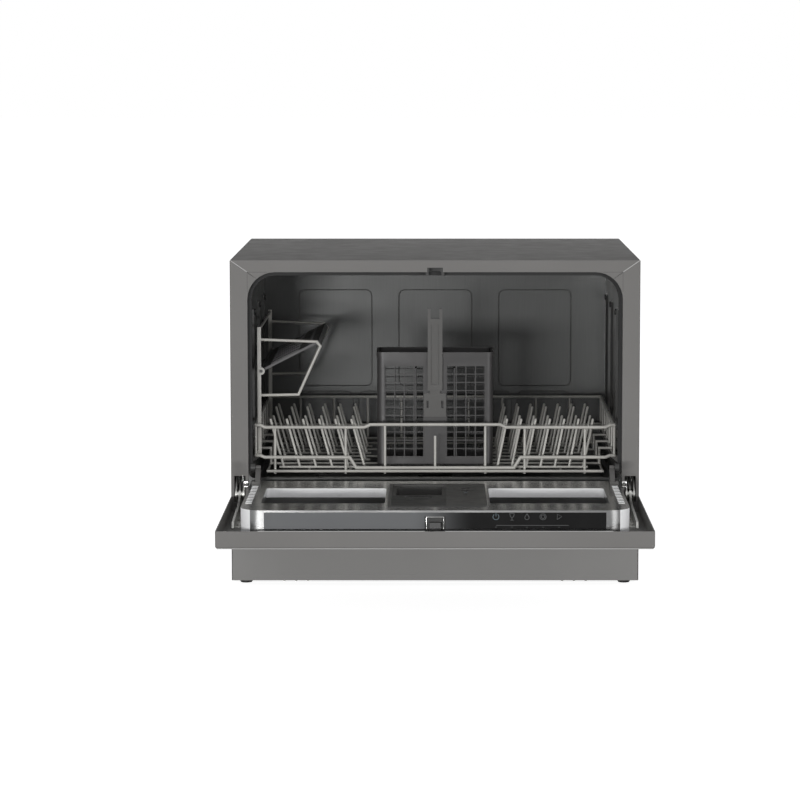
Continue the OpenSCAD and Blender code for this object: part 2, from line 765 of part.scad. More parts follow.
// Coiled spring between the hinge bracket and the tail of the arm, drawn as stacked turns with a hook at each end
module door_spring(side) {
    coil_r = 2.4;
    wire_r = 0.7;
    z0 = spring_foot_z + 6;
    z1 = tail_z - 12;
    turns = 26;
    color(steel) set_down() handed(side) translate([-arm_x, tail_y, 0]) {
        for (i = [0:turns]) {
            translate([0, 0, z0 + (z1 - z0) * i / turns]) rotate_extrude($fn = 24) translate([coil_r, 0])
                circle(r = wire_r, $fn = 8);
        }
        translate([coil_r, 0, z0]) cylinder(h = z1 - z0, r = 0.3, $fn = 13);
        wire([[coil_r, 0, z0 + 0.4], [coil_r, 0, spring_foot_z - 5], [-2.6, 0, spring_foot_z - 5]],
            wire_r + 0.15);
        wire([[coil_r, 0, z1 - 0.4], [coil_r, 0, tail_z], [-2.6, 0, tail_z]], wire_r + 0.15);
    }
}

// Door, drawn in its open place

module door_panel() {
    edge = 4;
    // Profile of the outer panel across its thickness, rounded where it meets the skin
    function side_view(a, b, r, z0, z1) = concat([[b, z1], [a, z1]], arc([a + r, z0 + r], r, 180, 5),
        arc([b - r, z0 + r], r, 270, 5));
    color(body_grey) set_down() difference() {
        intersection() {
            along_x(-half_w, half_w)
                polygon(side_view(door_front_y, door_back_y, edge, door_skin_z, door_rim_z));
            along_y(door_front_y, door_back_y)
                polygon(side_view(-half_w, half_w, edge, door_skin_z, door_rim_z));
        }
        intersection() {
            along_x(sheet - half_w, half_w - sheet)
                polygon(side_view(door_front_y + sheet, door_back_y - sheet, edge - sheet, door_floor_z,
                    door_rim_z + cut));
            along_y(door_front_y + sheet, door_back_y - sheet)
                polygon(side_view(sheet - half_w, half_w - sheet, edge - sheet, door_floor_z,
                    door_rim_z + cut));
        }
        for (s = [-1, 1]) {
            box([s * arm_x - 8, door_back_y - 6, door_skin_z + 3.5],
                [s * arm_x + 8, door_back_y + cut, door_rim_z + cut]);
        }
        box([-pocket_hw, door_front_y + 6, door_skin_z - cut],
            [pocket_hw, door_front_y + 17, door_floor_z + cut]);
    }
}
pocket_hw = 66;

module handle_pocket() {
    y0 = door_front_y + 4;
    y1 = door_front_y + 19;
    color(dark_grey) set_down() difference() {
        union() {
            box([-pocket_hw - 2, y0 + 0.2, door_floor_z], [pocket_hw + 2, y1, door_floor_z + 16]);
            box([-pocket_hw - 8, y0 + 0.2, door_floor_z], [pocket_hw + 8, y1, door_floor_z + 2]);
            box([-pocket_hw, y0 + 2, door_skin_z + 0.1], [pocket_hw, y1 - 2, door_floor_z + 0.4]);
        }
        box([2 - pocket_hw, y0 + 4, door_skin_z - cut], [pocket_hw - 2, y1 - 4, door_floor_z + 14]);
        box([2 - pocket_hw, y0 + 2, door_floor_z + 4], [pocket_hw - 2, y1 - 2, door_floor_z + 14]);
    }
}

// Outline of the liner in X and Y, grown inwards by g, with small corners towards the hinge
function liner_plan(g) = concat(
    arc([liner_hw - 8, liner_back_y - 8], 8 - g, 0, 4), arc([8 - liner_hw, liner_back_y - 8], 8 - g, 90, 4),
    arc([liner_r - liner_hw, liner_front_y + liner_r], liner_r - g, 180),
    arc([liner_hw - liner_r, liner_front_y + liner_r], liner_r - g, 270));
recess_x0 = disp_x1 + 4;
recess_x1 = liner_hw - 24;

module door_liner() {
    color(steel) set_down() difference() {
        union() {
            difference() {
                along_z(door_floor_z + 0.2, liner_top_z) polygon(liner_plan(0));
                along_z(door_floor_z - cut, liner_top_z - liner_wall) polygon(liner_plan(liner_wall));
            }
            box([-panel_hw - 6, liner_front_y - lip_w, door_rim_z - liner_wall - 0.2],
                [panel_hw + 6, liner_front_y + 1, door_rim_z - 0.2]);
            for (i = [0:11]) {
                for (s = [-1, 1]) {
                    y = liner_back_y - 48 - 14 * i;
                    box([s * (liner_hw - 8) - 4, y - 3, liner_top_z - 0.4],
                        [s * (liner_hw - 8) + 4, y + 3, liner_top_z + 0.6]);
                }
            }
            for (s = [-1, 1]) {
                x0 = s < 0 ? -recess_x1 : recess_x0;
                x1 = s < 0 ? disp_x0 - 4 : recess_x1;
                box([x0 - liner_wall, recess_front_y - liner_wall, liner_top_z - recess_depth - liner_wall],
                    [x1 + liner_wall, recess_back_y + liner_wall, liner_top_z - 0.4]);
            }
        }
        for (s = [-1, 1]) {
            x0 = s < 0 ? -recess_x1 : recess_x0;
            x1 = s < 0 ? disp_x0 - 4 : recess_x1;
            along_z(liner_top_z - recess_depth, liner_top_z + cut)
                polygon(round_rect(x0, x1, recess_front_y, recess_back_y, 5, 3));
        }
        box([disp_x0, disp_y1, liner_top_z - 3], [disp_x1, disp_y0, liner_top_z + cut]);
        box([-window_hw, liner_front_y - 2, window_z0], [window_hw, liner_front_y + 4, window_z1]);
    }
}
window_hw = 13;
window_z0 = open_z(-5);
window_z1 = open_z(15);
panel_hw = liner_hw - liner_r - 1;

module control_panel() {
    color(dark_grey) set_down() difference() {
        box([-panel_hw, liner_front_y - 0.9, door_rim_z], [panel_hw, liner_front_y, liner_top_z - 2.5]);
        box([-window_hw, liner_front_y - 3, window_z0], [window_hw, liner_front_y + cut, window_z1]);
    }
}

module control_board() {
    y0 = liner_front_y + 8;
    color(board_green) set_down() {
        box([50, y0, door_floor_z + 6], [210, y0 + 42, door_floor_z + 7.6]);
        for (i = [0:4]) {
            box([72 + 20 * i, y0 + 2, door_floor_z + 7.4], [80 + 20 * i, y0 + 12, door_floor_z + 12]);
        }
        for (x = [54, 206]) {
            for (y = [y0 + 4, y0 + 38]) {
                translate([x, y, door_floor_z + 0.1]) cylinder(h = 6.2, r = 2.5);
            }
        }
    }
}

module damping_pad() {
    color(dark_grey) set_down() difference() {
        box([-210, liner_front_y + 60, door_floor_z], [210, liner_back_y - 20, door_floor_z + 3]);
        for (x = [-140, -70, 0, 70, 140]) {
            box([x - 1, liner_front_y + 70, door_floor_z + 1.4], [x + 1, liner_back_y - 30, door_floor_z + 4]);
        }
    }
}

module bottom_seal() {
    z1 = door_rim_z - 0.2;
    color(rubber) set_down() along_x(-liner_hw + 8, liner_hw - 8)
        polygon([[liner_back_y, z1 - 9], [liner_back_y + 2.5, z1 - 9],
            [liner_back_y + 3, z1 - 3.5], [liner_back_y + 12, z1 - 2], [liner_back_y + 12, z1], [liner_back_y, z1]]);
}

module dispenser_body() {
    color(plastic_grey) set_down() difference() {
        union() {
            box([disp_x0 + 0.1, disp_y1 + 0.1, liner_top_z - 2.9], [disp_x1 - 0.1, disp_y0 - 0.1, liner_top_z]);
            box([disp_x0 + 3, disp_y0 - 120, door_floor_z + 3.4],
                [disp_x1 - 3, disp_y0 - 3, liner_top_z - 2.5]);
            box([disp_x0 + 3, disp_y1 + 3, liner_top_z - 6], [disp_x1 - 3, disp_y0 - 3, liner_top_z - 2.5]);
        }
        box([lid_x0, lid_y0 - 2 * lid_len - 1, lid_floor_z], [lid_x1, lid_y0 + 1, liner_top_z + cut]);
        along_z(liner_top_z - 30, liner_top_z)
            polygon(round_rect(lid_x0 + 5, lid_x1 - 5, lid_y0 - lid_len + 7, lid_y0 - 4, 8, 4));
        translate([cap_x, cap_y, liner_top_z - 9]) cylinder(h = 12, r = cap_r + 0.5);
        translate([cap_x, cap_y, liner_top_z - 22]) cylinder(h = 16, r = cap_r - 5);
        for (i = [0:2]) {
            translate([cap_x, disp_y0 - 90 - 8 * i, liner_top_z - 2]) cylinder(h = 4, r = 2);
        }
    }
}

module detergent_lid() {
    z0 = lid_floor_z + 0.25;
    color(dark_grey) set_down() {
        box([lid_x0 + guide, lid_y0 - 2 * lid_len, z0], [lid_x1 - guide, lid_y0 - lid_len, liner_top_z - 0.3]);
        for (i = [0:3]) {
            box([lid_x0 + 18, lid_y0 - lid_len - 12 - 4 * i, liner_top_z - 0.8],
                [lid_x1 - 18, lid_y0 - lid_len - 10.5 - 4 * i, liner_top_z + 0.2]);
        }
    }
}

module rinse_cap() {
    color(plastic_grey) set_down() translate([cap_x, cap_y, 0]) {
        difference() {
            translate([0, 0, liner_top_z - 6]) cylinder(h = 6, r = cap_r);
            for (s = [-1, 1]) {
                translate([0, s * 8.5, liner_top_z - 2.5]) cylinder(h = 4, r = 6);
            }
        }
        translate([0, 0, liner_top_z - 14]) cylinder(h = 9, r = cap_r - 5.4);
        box([-cap_r + 3, -1.2, liner_top_z - 3], [cap_r - 3, 1.2, liner_top_z + 0.3]);
    }
}

module latch_housing() {
    y0 = liner_front_y + liner_wall + 0.1;
    color(dark_grey) set_down() difference() {
        union() {
            box([-20, y0, door_floor_z + 6], [20, y0 + 34, latch_z1 + 7]);
            box([-window_hw + 0.6, liner_front_y - 0.4, window_z0 + 0.6],
                [window_hw - 0.6, y0 + cut, window_z1 - 0.6]);
            box([-30, y0 + 4, door_floor_z], [30, y0 + 30, door_floor_z + 6.5]);
            difference() {
                box([-window_hw + 0.6, liner_front_y - 1.2, window_z0 + 0.6],
                    [window_hw - 0.6, liner_front_y, window_z1 - 0.6]);
                box([-window_hw + 2.4, liner_front_y - 3, window_z0 + 2.4],
                    [window_hw - 2.4, liner_front_y - 0.3, window_z1 - 2.4]);
            }
            box([-7.5, liner_front_y - 9, door_rim_z], [7.5, liner_front_y, door_rim_z + 0.5]);
        }
        box([-latch_hw - guide, liner_front_y - 3, latch_z0 - guide],
            [latch_hw + guide, y0 + 26, latch_z1 + guide]);
    }
}

module latch_bolt() {
    y1 = liner_front_y + liner_wall + 18;
    color(zinc) set_down() {
        difference() {
            box([-latch_hw, liner_front_y - 3, latch_z0], [latch_hw, y1, latch_z1]);
            box([-3, liner_front_y + 6, latch_z0 - cut], [3, y1 - 4, latch_z1 + cut]);
        }
        along_x(-latch_hw, latch_hw) polygon([[latch_tip_y, nose_z0], [latch_tip_y + 2, latch_z1],
            [liner_front_y - 2, latch_z1], [liner_front_y - 2, nose_z0]]);
    }
}

module roller_bracket(side) {
    color(plastic_grey) set_down() handed(side) {
        x0 = -roller_x + roller_w / 2 + 0.6;
        x1 = x0 + bracket_t;
        crown_r = roller_pin_r + 1.4;
        difference() {
            along_x(x0, x1) polygon(concat(arc([roller_y, roller_z], crown_r, 0, 6),
                arc([roller_y, roller_z], crown_r, 90, 6),
                [[roller_y - 9, roller_z - 4], [roller_y - 17, liner_top_z + 7], [roller_y - 19, liner_top_z],
                [roller_y + 3.4, liner_top_z]]));
            translate([x0 - cut, roller_y - 7.5, liner_top_z + 7.5]) rotate([0, 90, 0])
                cylinder(h = bracket_t + 2 * cut, r = 2.6);
        }
        box([-roller_x - 1.4, roller_y - 21, liner_top_z], [x1, roller_y + 2.5, liner_top_z + 2.2]);
        translate([x0 - 2.2, roller_y - 17, liner_top_z + 1.8]) cylinder(h = 1.6, r = 2);
        translate([-roller_x - roller_w / 2 - 0.2, roller_y, roller_z]) rotate([0, 90, 0])
            cylinder(h = roller_w + 3, r = roller_pin_r);
    }
}

module roller(side) {
    color(white_plastic) set_down() handed(side) translate([-roller_x - roller_w / 2, roller_y, roller_z])
        rotate([0, 90, 0]) difference() {
        cylinder(h = roller_w, r = roller_r);
        translate([0, 0, -cut]) cylinder(h = roller_w + 2 * cut, r = roller_pin_r + run);
        difference() {
            translate([0, 0, roller_w - 1.5]) cylinder(h = 3, r = roller_r - 1.6);
            translate([0, 0, roller_w - 3]) cylinder(h = 5, r = roller_pin_r + 1.6);
        }
    }
}

// Rack

function mirrored(points) = concat(points,
    [for (i = [len(points) - 1:-1:0]) [-points[i][0], points[i][1], points[i][2]]]);

// Rim and rail: a bent wire along each side, and a wire across the front and the back between their ends.
// The risers are the ends of the cross wires, which stand up beside the runners
module rack_frame() {
    y0 = rack_front_y;
    y1 = rack_back_y;
    x1 = rail_x;
    turn = 3;
    end_x = x1 - turn - weld_gap;
    z_low = rack_top_z - 0.5;
    color(wire_grey) set_down() {
        for (z = [rim_z, rail_z]) {
            for (s = [-1, 1]) {
                wire([[s * (x1 - turn), y0, z], [s * x1, y0, z], [s * x1, y1, z], [s * (x1 - turn), y1, z]],
                    rim_r);
            }
            bar([-end_x, y1, z], [end_x, y1, z], rim_r);
        }
        // Front of the rim, dipped at each side of its raised middle
        wire(mirrored([[-end_x, y0, rim_z], [-x1 + 6, y0, rim_z], [-x1 + 12, y0, z_low],
            [-lift_x - 8, y0, z_low], [-lift_x, y0, rack_top_z + 3.2]]), rim_r);
        // Front of the rail, dropped to the floor in the middle
        wire(mirrored([[-end_x, y0, rail_z], [-x1 + 6, y0, rail_z], [-x1 + 12, y0, rail_z - 2.5],
            [-dip_x - 9, y0, rail_z - 2.5], [-dip_x, y0, low_z]]), rim_r);
        for (y = [y0, y1]) {
            bar([-rack_floor_hw, y, rack_floor_z], [rack_floor_hw, y, rack_floor_z], rim_r - 0.3);
        }
        for (y = cross_wire_y) {
            for (s = [-1, 1]) bar([s * riser_x, y, rack_deck_z], [s * riser_x, y, hook_z], tine_r);
        }
    }
}

// Straight wires that are welded to the frame: the floor, its hooks on the rail, and the posts
module rack_floor() {
    y0 = rack_front_y;
    y1 = rack_back_y;
    inner_x = post_x - 5;
    outer = [for (t = [0, 0.32, 0.66, 1]) inner_x + t * (rack_floor_hw - inner_x)];
    weld_y = rim_r + tine_r - 0.7;
    color(wire_grey) set_down() {
        // Lengthwise wires of the floor
        for (x = concat([5], outer, -outer))
            bar([x, y0 - 0.5, rack_floor_z], [x, y1 + 0.5, rack_floor_z], tine_r);
        // Cross wires over them, with hooks from the risers to the rail
        for (y = cross_wire_y) {
            bar([-riser_x - tine_r, y, rack_deck_z], [riser_x + tine_r, y, rack_deck_z], tine_r);
            for (s = [-1, 1]) bar([s * (riser_x - tine_r), y, hook_z], [s * rail_x, y, hook_z], tine_r);
        }
        // Cross wires that carry the tines
        for (y = tine_rows) {
            bar([left_tine_x - 6, y, rack_deck_z],
                [left_tine_x + pitch_left * (left_tines - 1) + 6, y, rack_deck_z], tine_r);
            bar([right_tine_x - 6, y, rack_deck_z],
                [right_tine_x + pitch_right * (right_tines - 1) + 6, y, rack_deck_z], tine_r);
        }
        // Posts of the front, which end in the feet
        for (x = [-rack_floor_hw + 10, -dip_x - 14.5, -post_x, post_x, dip_x + 14.5, rack_floor_hw - 24]) {
            bar([x, y0 + weld_y, rack_foot_z], [x, y0 + weld_y, rack_top_z + (abs(x) < lift_x ? 3 : 0)],
                tine_r);
        }
        bar([0, y0 + weld_y, rack_floor_z], [0, y0 + weld_y, rack_floor_z + 48], tine_r);
        // Posts of the sides and the back
        for (s = [-1, 1]) {
            for (i = [0:6]) {
                y = y0 + 2.5 + (y1 - y0 - 5) * i / 6;
                bar([s * rail_x, y, rail_z], [s * rail_x, y, rim_z], tine_r);
            }
            bar([s * (outer[1] - 6), y1 - 3, rack_foot_z], [s * (outer[1] - 6), y1 - 3, rack_floor_z + 2],
                tine_r);
        }
        for (i = [-4:4]) {
            x = i * rack_floor_hw / 4.6;
            bar([x, y1, rack_floor_z], [x, y1, rim_z], tine_r);
        }
    }
}

// Rows of plate tines that lean to one side, each with a tapered tip
module tines(x_first, pitch, count, lean) {
    tip = 1.2;
    color(wire_grey) set_down() for (row = [0:len(tine_rows) - 1]) {
        rise = tine_top_z - 4 * (row % 2) - rack_deck_z;
        len = norm([lean, rise]);
        for (i = [0:count - 1]) {
            translate([x_first + pitch * i, tine_rows[row], rack_deck_z]) rotate([0, atan2(lean, rise), 0]) {
                cylinder(h = len - tip, r = tine_r, $fn = 16);
                translate([0, 0, len - tip]) cylinder(h = tip, r1 = tine_r, r2 = tine_r * 0.6, $fn = 16);
            }
        }
    }
}

module tines_left() {
    tines(left_tine_x, pitch_left, left_tines, -18);
}

module tines_right() {
    tines(right_tine_x, pitch_right, right_tines, 13);
}

// Flat uprights and wire loops that carry the cup shelf at the left wall
module shelf_stand() {
    color(wire_grey) set_down() {
        for (y = [shelf_y0, shelf_y1]) {
            wire([[shelf_pin_x, y, shelf_out_z + 3], [shelf_out_x - 5, y, shelf_out_z],
                [shelf_out_x, y, shelf_out_z - 6],
                [shelf_out_x - 30, y, shelf_out_z - 72], [shelf_pin_x, y, shelf_out_z - 73]], rim_r - 0.3);
            bar([-rail_x, y - 0.5, rail_z], [shelf_pin_x, y - 0.5, rail_z + 8], tine_r);
            bar([-rail_x, y - 0.5, rack_top_z + 2.5], [shelf_pin_x, y - 0.5, rack_top_z + 2.5], tine_r);
            difference() {
                union() {
                    box([shelf_pin_x - 3, y - 2, rail_z], [shelf_pin_x + 2, y + 1, shelf_out_z + 20]);
                    translate([shelf_pin_x + 2, y - 2, shelf_pin_z]) rotate([-90, 0, 0]) cylinder(h = 3, r = 5);
                }
                translate([shelf_pin_x + 2, y - 3, shelf_pin_z]) rotate([-90, 0, 0])
                    cylinder(h = 5, r = 2 + run);
            }
        }
        bar([shelf_pin_x, shelf_y0, shelf_out_z + 17], [shelf_pin_x, shelf_y1, shelf_out_z + 17], tine_r);
    }
}

module cup_shelf() {
    dx = shelf_out_x - 4 - shelf_pin_x;
    dz = shelf_out_z - shelf_pin_z;
    slope = atan2(dz, dx);
    span = norm([dx, dz]);
    y0 = shelf_y0 + 3;
    y1 = shelf_y1 - 4;
    color(plastic_grey) set_down() translate([shelf_pin_x + 2, 0, shelf_pin_z]) rotate([0, -slope, 0]) {
        difference() {
            union() {
                box([0, y0, -1.6], [span, y1, 1.6]);
                box([span - 3, y0, -6], [span, y1, 1.6]);
                rotate([-90, 0, 0]) translate([0, 0, y0]) cylinder(h = y1 - y0, r = 3.4);
            }
            for (i = [0:6]) {
                y = y0 + 16 + (y1 - y0 - 32) * i / 6;
                box([14, y - 9, -5], [span - 30, y + 9, 5]);
            }
            for (i = [0:11]) {
                y = y0 + 12 + (y1 - y0 - 24) * i / 11;
                translate([span - 15, y, -5]) cylinder(h = 10, r = 4);
            }
        }
        rotate([-90, 0, 0]) translate([0, 0, shelf_y0 - 3.5]) cylinder(h = shelf_y1 - shelf_y0 + 6, r = 2);
    }
}

// Cutlery basket

// Edges of the windows in its walls and its floor, which the mesh closes
basket_windows = [[10 - basket_w / 2, -15], [15, basket_w / 2 - 10]];
basket_floor_windows = [for (i = [-1:1]) [i * basket_w / 3 - basket_w / 6 + 8,
    i * basket_w / 3 + basket_w / 6 - 8]];
basket_end_y = [basket_y0 + 11, basket_y0 + basket_d - 11];
basket_sill_z = basket_z0 + 10;
basket_head_z = basket_z0 + basket_h - 18;

module basket_body() {
    x1 = basket_w / 2;
    y0 = basket_y0;
    y1 = basket_y0 + basket_d;
    z0 = basket_z0;
    z1 = basket_z0 + basket_h;
    w = basket_wall;
    color(dark_grey) set_down() difference() {
        union() {
            along_z(z0, z1) polygon(round_rect(-x1, x1, y0, y1, 9, 5));
            along_z(z1 - 7, z1) polygon(round_rect(-x1 - 1, x1 + 1, y0 - 1, y1 + 1, 10, 5));
        }
        difference() {
            along_z(z0 + w, z1 + cut) polygon(round_rect(w - x1, x1 - w, y0 + w, y1 - w, 9 - w, 5));
            for (x = [-x1 / 3, x1 / 3]) {
                box([x - 0.9, y0, z0], [x + 0.9, y1, z1 - 22]);
            }
        }
        for (v = basket_windows) {
            box([v[0], y0 - 3, basket_sill_z], [v[1], y0 + w + cut, basket_head_z]);
            box([v[0], y1 - w - cut, basket_sill_z], [v[1], y1 + 3, basket_head_z]);
        }
        for (s = [-1, 1]) {
            box([s * (x1 - w / 2) - w, basket_end_y[0], basket_sill_z],
                [s * (x1 - w / 2) + w, basket_end_y[1], basket_head_z]);
        }
        for (v = basket_floor_windows) box([v[0], basket_end_y[0], z0 - cut],
            [v[1], basket_end_y[1], z0 + w + cut]);
    }
}

// Flat grid of thin bars, w wide and h high
mesh_t = 1.1;

module grid(w, h, columns, rows) {
    bar_w = 1.3;
    for (i = [0:columns]) {
        x = (w - bar_w) * i / columns;
        box([x, 0, 0], [x + bar_w, h, mesh_t]);
    }
    for (k = [0:rows]) {
        y = (h - bar_w) * k / rows;
        box([0, y, 0.1], [w, y + bar_w, mesh_t - 0.1]);
    }
}

module basket_mesh() {
    high = basket_head_z - basket_sill_z;
    deep = basket_end_y[1] - basket_end_y[0];
    color(dark_grey) set_down() {
        for (v = basket_windows) {
            for (y = [basket_y0 + 0.6, basket_y0 + basket_d - 0.6 - mesh_t]) {
                translate([v[0], y + mesh_t, basket_sill_z]) rotate([90, 0, 0]) grid(v[1] - v[0], high, 4, 11);
            }
        }
        for (x = [0.6 - basket_w / 2, basket_w / 2 - 0.6 - mesh_t]) {
            translate([x, basket_end_y[0], basket_sill_z]) rotate([90, 0, 90]) grid(deep, high, 4, 11);
        }
        for (v = basket_floor_windows) {
            translate([v[0], basket_end_y[0], basket_z0 + 0.6]) grid(v[1] - v[0], deep, 3, 5);
        }
    }
}

module basket_handle() {
    z1 = basket_z0 + basket_h;
    y0 = basket_y0 - 4;
    top = z1 + 60;
    color(plastic_grey) set_down() difference() {
        union() {
            box([-10, y0, z1 - 52], [10, basket_y0 - 1, top - 14]);
            for (s = [-1, 1]) {
                box([s * 8 - 2, y0, top - 16], [s * 8 + 2, basket_y0 - 1, top]);
            }
            box([-15, y0 + 0.6, z1 - 88], [15, basket_y0, z1 - 56]);
            box([-7, y0 + 1, z1 - 60], [7, basket_y0, z1 - 50]);
        }
        box([-5.5, y0 - cut, z1 - 44], [5.5, y0 + 1.6, top - 22]);
        for (s = [-1, 1]) {
            box([s * 10 - 1.5, y0 - cut, z1 - 76], [s * 10 + 1.5, basket_y0 + cut, z1 - 66]);
        }
    }
}

top_panel();
side_panel("left");  // side_panel_left
side_panel("right");  // side_panel_right
back_panel();
base_pan();
plinth_panel();
tub();
door_gasket();
door_strike();
runner("left");  // runner_left
runner("right");  // runner_right
sump();
filter_plate();
spray_hub();
circulation_pump();
drain_pump();
heater();
inlet_valve();
drain_spigot();
cord_gland();
air_break();
sound_mat();
hinge_bracket("left");  // hinge_bracket_left
hinge_bracket("right");  // hinge_bracket_right
door_spring("left");  // door_spring_left
door_spring("right");  // door_spring_right
foot(-foot_x, foot_y0);  // foot_front_left
foot(foot_x, foot_y0);  // foot_front_right
foot(-foot_x, foot_y1);  // foot_rear_left
foot(foot_x, foot_y1);  // foot_rear_right
case_screws();
door_panel();
door_liner();
control_panel();
control_board();
damping_pad();
handle_pocket();
bottom_seal();
dispenser_body();
latch_housing();
hinge_arm("left");  // hinge_arm_left
hinge_arm("right");  // hinge_arm_right
roller_bracket("left");  // roller_bracket_left
roller_bracket("right");  // roller_bracket_right
detergent_lid();
rinse_cap();
latch_bolt();
roller("left");  // roller_left
roller("right");  // roller_right
rack_frame();
rack_floor();
tines_left();
tines_right();
shelf_stand();
cup_shelf();
basket_body();
basket_mesh();
basket_handle();
spray_arm();
filter_cup();
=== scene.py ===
"""Looks of a countertop dishwasher with its door folded down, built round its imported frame."""

from __future__ import annotations

import json
import logging
import math
from dataclasses import dataclass, field
from enum import Enum
from typing import Callable, Sequence

import bpy
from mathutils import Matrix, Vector

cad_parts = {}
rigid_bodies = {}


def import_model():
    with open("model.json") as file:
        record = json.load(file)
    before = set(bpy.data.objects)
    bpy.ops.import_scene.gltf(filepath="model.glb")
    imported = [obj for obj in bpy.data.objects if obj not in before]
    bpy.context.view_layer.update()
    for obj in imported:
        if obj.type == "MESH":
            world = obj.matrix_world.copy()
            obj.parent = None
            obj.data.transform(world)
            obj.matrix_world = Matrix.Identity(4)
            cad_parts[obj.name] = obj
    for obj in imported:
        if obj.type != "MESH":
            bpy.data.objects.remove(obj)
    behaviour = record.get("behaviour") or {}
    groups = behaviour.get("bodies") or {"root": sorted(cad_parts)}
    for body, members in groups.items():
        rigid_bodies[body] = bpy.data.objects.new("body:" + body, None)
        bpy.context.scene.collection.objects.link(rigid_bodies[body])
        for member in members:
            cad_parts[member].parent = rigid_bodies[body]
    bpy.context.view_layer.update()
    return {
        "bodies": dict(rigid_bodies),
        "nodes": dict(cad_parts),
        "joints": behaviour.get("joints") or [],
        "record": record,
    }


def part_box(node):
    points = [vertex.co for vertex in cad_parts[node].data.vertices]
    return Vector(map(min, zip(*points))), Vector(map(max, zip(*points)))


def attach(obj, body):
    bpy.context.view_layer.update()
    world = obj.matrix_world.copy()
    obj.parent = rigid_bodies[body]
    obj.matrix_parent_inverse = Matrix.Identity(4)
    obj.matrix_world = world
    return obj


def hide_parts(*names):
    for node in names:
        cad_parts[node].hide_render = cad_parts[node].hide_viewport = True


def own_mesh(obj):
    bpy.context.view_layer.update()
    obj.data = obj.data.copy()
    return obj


log = logging.getLogger("dishwasher")

MM = 0.001

Rgb = tuple[float, float, float]
Xyz = tuple[float, float, float]
Xz = tuple[float, float]


class Side(Enum):
    """The two hands of the machine, seen from the front."""

    LEFT = -1
    RIGHT = 1

    @property
    def word(self) -> str:
        """The side's name as it stands in a piece's name."""
        return self.name.lower()


class Grain(Enum):
    """The direction in which a brushed or drawn surface runs."""

    ALONG_X = (1.0, 40.0, 40.0)
    ALONG_Y = (40.0, 1.0, 40.0)
    ALONG_Z = (40.0, 40.0, 1.0)


class Recipe:
    """A material while its nodes are being laid out."""

    def __init__(self, name: str, colour: Rgb, roughness: float) -> None:
        """Starts the material with one shader and the piece's own coordinates.

        Args:
            name: what the material is called.
            colour: linear base colour.
            roughness: roughness where nothing varies it.
        """
        self.material = bpy.data.materials.new(name)
        self.material.use_nodes = True
        self.tree = self.material.node_tree
        self.shader = self.tree.nodes["Principled BSDF"]
        self.shader.inputs["Base Color"].default_value = (*colour, 1.0)
        self.shader.inputs["Roughness"].default_value = roughness
        self.place = self.node("ShaderNodeTexCoord").outputs["Object"]

    def node(self, kind: str) -> bpy.types.Node:
        """Adds a node of that kind."""
        return self.tree.nodes.new(kind)

    def join(self, source: bpy.types.NodeSocket, target: bpy.types.NodeSocket) -> None:
        """Links two sockets."""
        self.tree.links.new(source, target)

    def noise(self, scale: float, stretch: Xyz = (1.0, 1.0, 1.0), detail: float = 3.0) -> bpy.types.NodeSocket:
        """Lays a noise pattern over the piece.

        Args:
            scale: number of blotches in a metre.
            stretch: how much finer the pattern is along each axis.
            detail: octaves of the noise.

        Returns:
            The pattern as a value from 0 to 1.
        """
        mapping = self.node("ShaderNodeMapping")
        mapping.inputs["Scale"].default_value = stretch
        noise = self.node("ShaderNodeTexNoise")
        noise.inputs["Scale"].default_value = scale
        noise.inputs["Detail"].default_value = detail
        self.join(self.place, mapping.inputs["Vector"])
        self.join(mapping.outputs["Vector"], noise.inputs["Vector"])
        return noise.outputs["Fac"]

    def spread(self, source: bpy.types.NodeSocket, low: float, high: float) -> bpy.types.NodeSocket:
        """Stretches the middle of a pattern to run from low to high.

        Args:
            source: a pattern from 0 to 1.
            low: value where the pattern is weak.
            high: value where the pattern is strong.

        Returns:
            The stretched value.
        """
        remap = self.node("ShaderNodeMapRange")
        remap.inputs["From Min"].default_value = 0.3
        remap.inputs["From Max"].default_value = 0.7
        remap.inputs["To Min"].default_value = low
        remap.inputs["To Max"].default_value = high
        self.join(source, remap.inputs["Value"])
        return remap.outputs["Result"]

    def vary_colour(self, pattern: bpy.types.NodeSocket, first: Rgb, second: Rgb) -> None:
        """Mixes two colours by the middle of a pattern into the base colour."""
        self.mix_colours(self.spread(pattern, 0.0, 1.0), first, second)

    def mix_colours(self, factor: bpy.types.NodeSocket, first: Rgb, second: Rgb) -> None:
        """Mixes two colours by a value from 0 to 1 into the base colour."""
        mix = self.node("ShaderNodeMix")
        mix.data_type = "RGBA"
        for socket in mix.inputs:
            if socket.type == "RGBA":
                socket.default_value = (*(first if socket.name == "A" else second), 1.0)
        self.join(factor, mix.inputs["Factor"])
        self.join(next(s for s in mix.outputs if s.type == "RGBA"), self.shader.inputs["Base Color"])

    def vary_roughness(self, pattern: bpy.types.NodeSocket, low: float, high: float) -> None:
        """Lets a pattern move the roughness between two values."""
        self.join(self.spread(pattern, low, high), self.shader.inputs["Roughness"])

    def bump(self, pattern: bpy.types.NodeSocket, height: float, strength: float = 1.0) -> None:
        """Raises the surface by a pattern, on top of any bump that is there.

        Args:
            pattern: height as a value from 0 to 1.
            height: real height in metres.
            strength: share of the effect.
        """
        bump = self.node("ShaderNodeBump")
        bump.inputs["Distance"].default_value = height
        bump.inputs["Strength"].default_value = strength
        normal = self.shader.inputs["Normal"]
        if normal.is_linked:
            self.join(normal.links[0].from_socket, bump.inputs["Normal"])
        self.join(pattern, bump.inputs["Height"])
        self.join(bump.outputs["Normal"], normal)


def lighter(colour: Rgb, share: float) -> Rgb:
    """A colour made lighter, or darker where share is below 1."""
    return tuple(min(1.0, c * share) for c in colour)


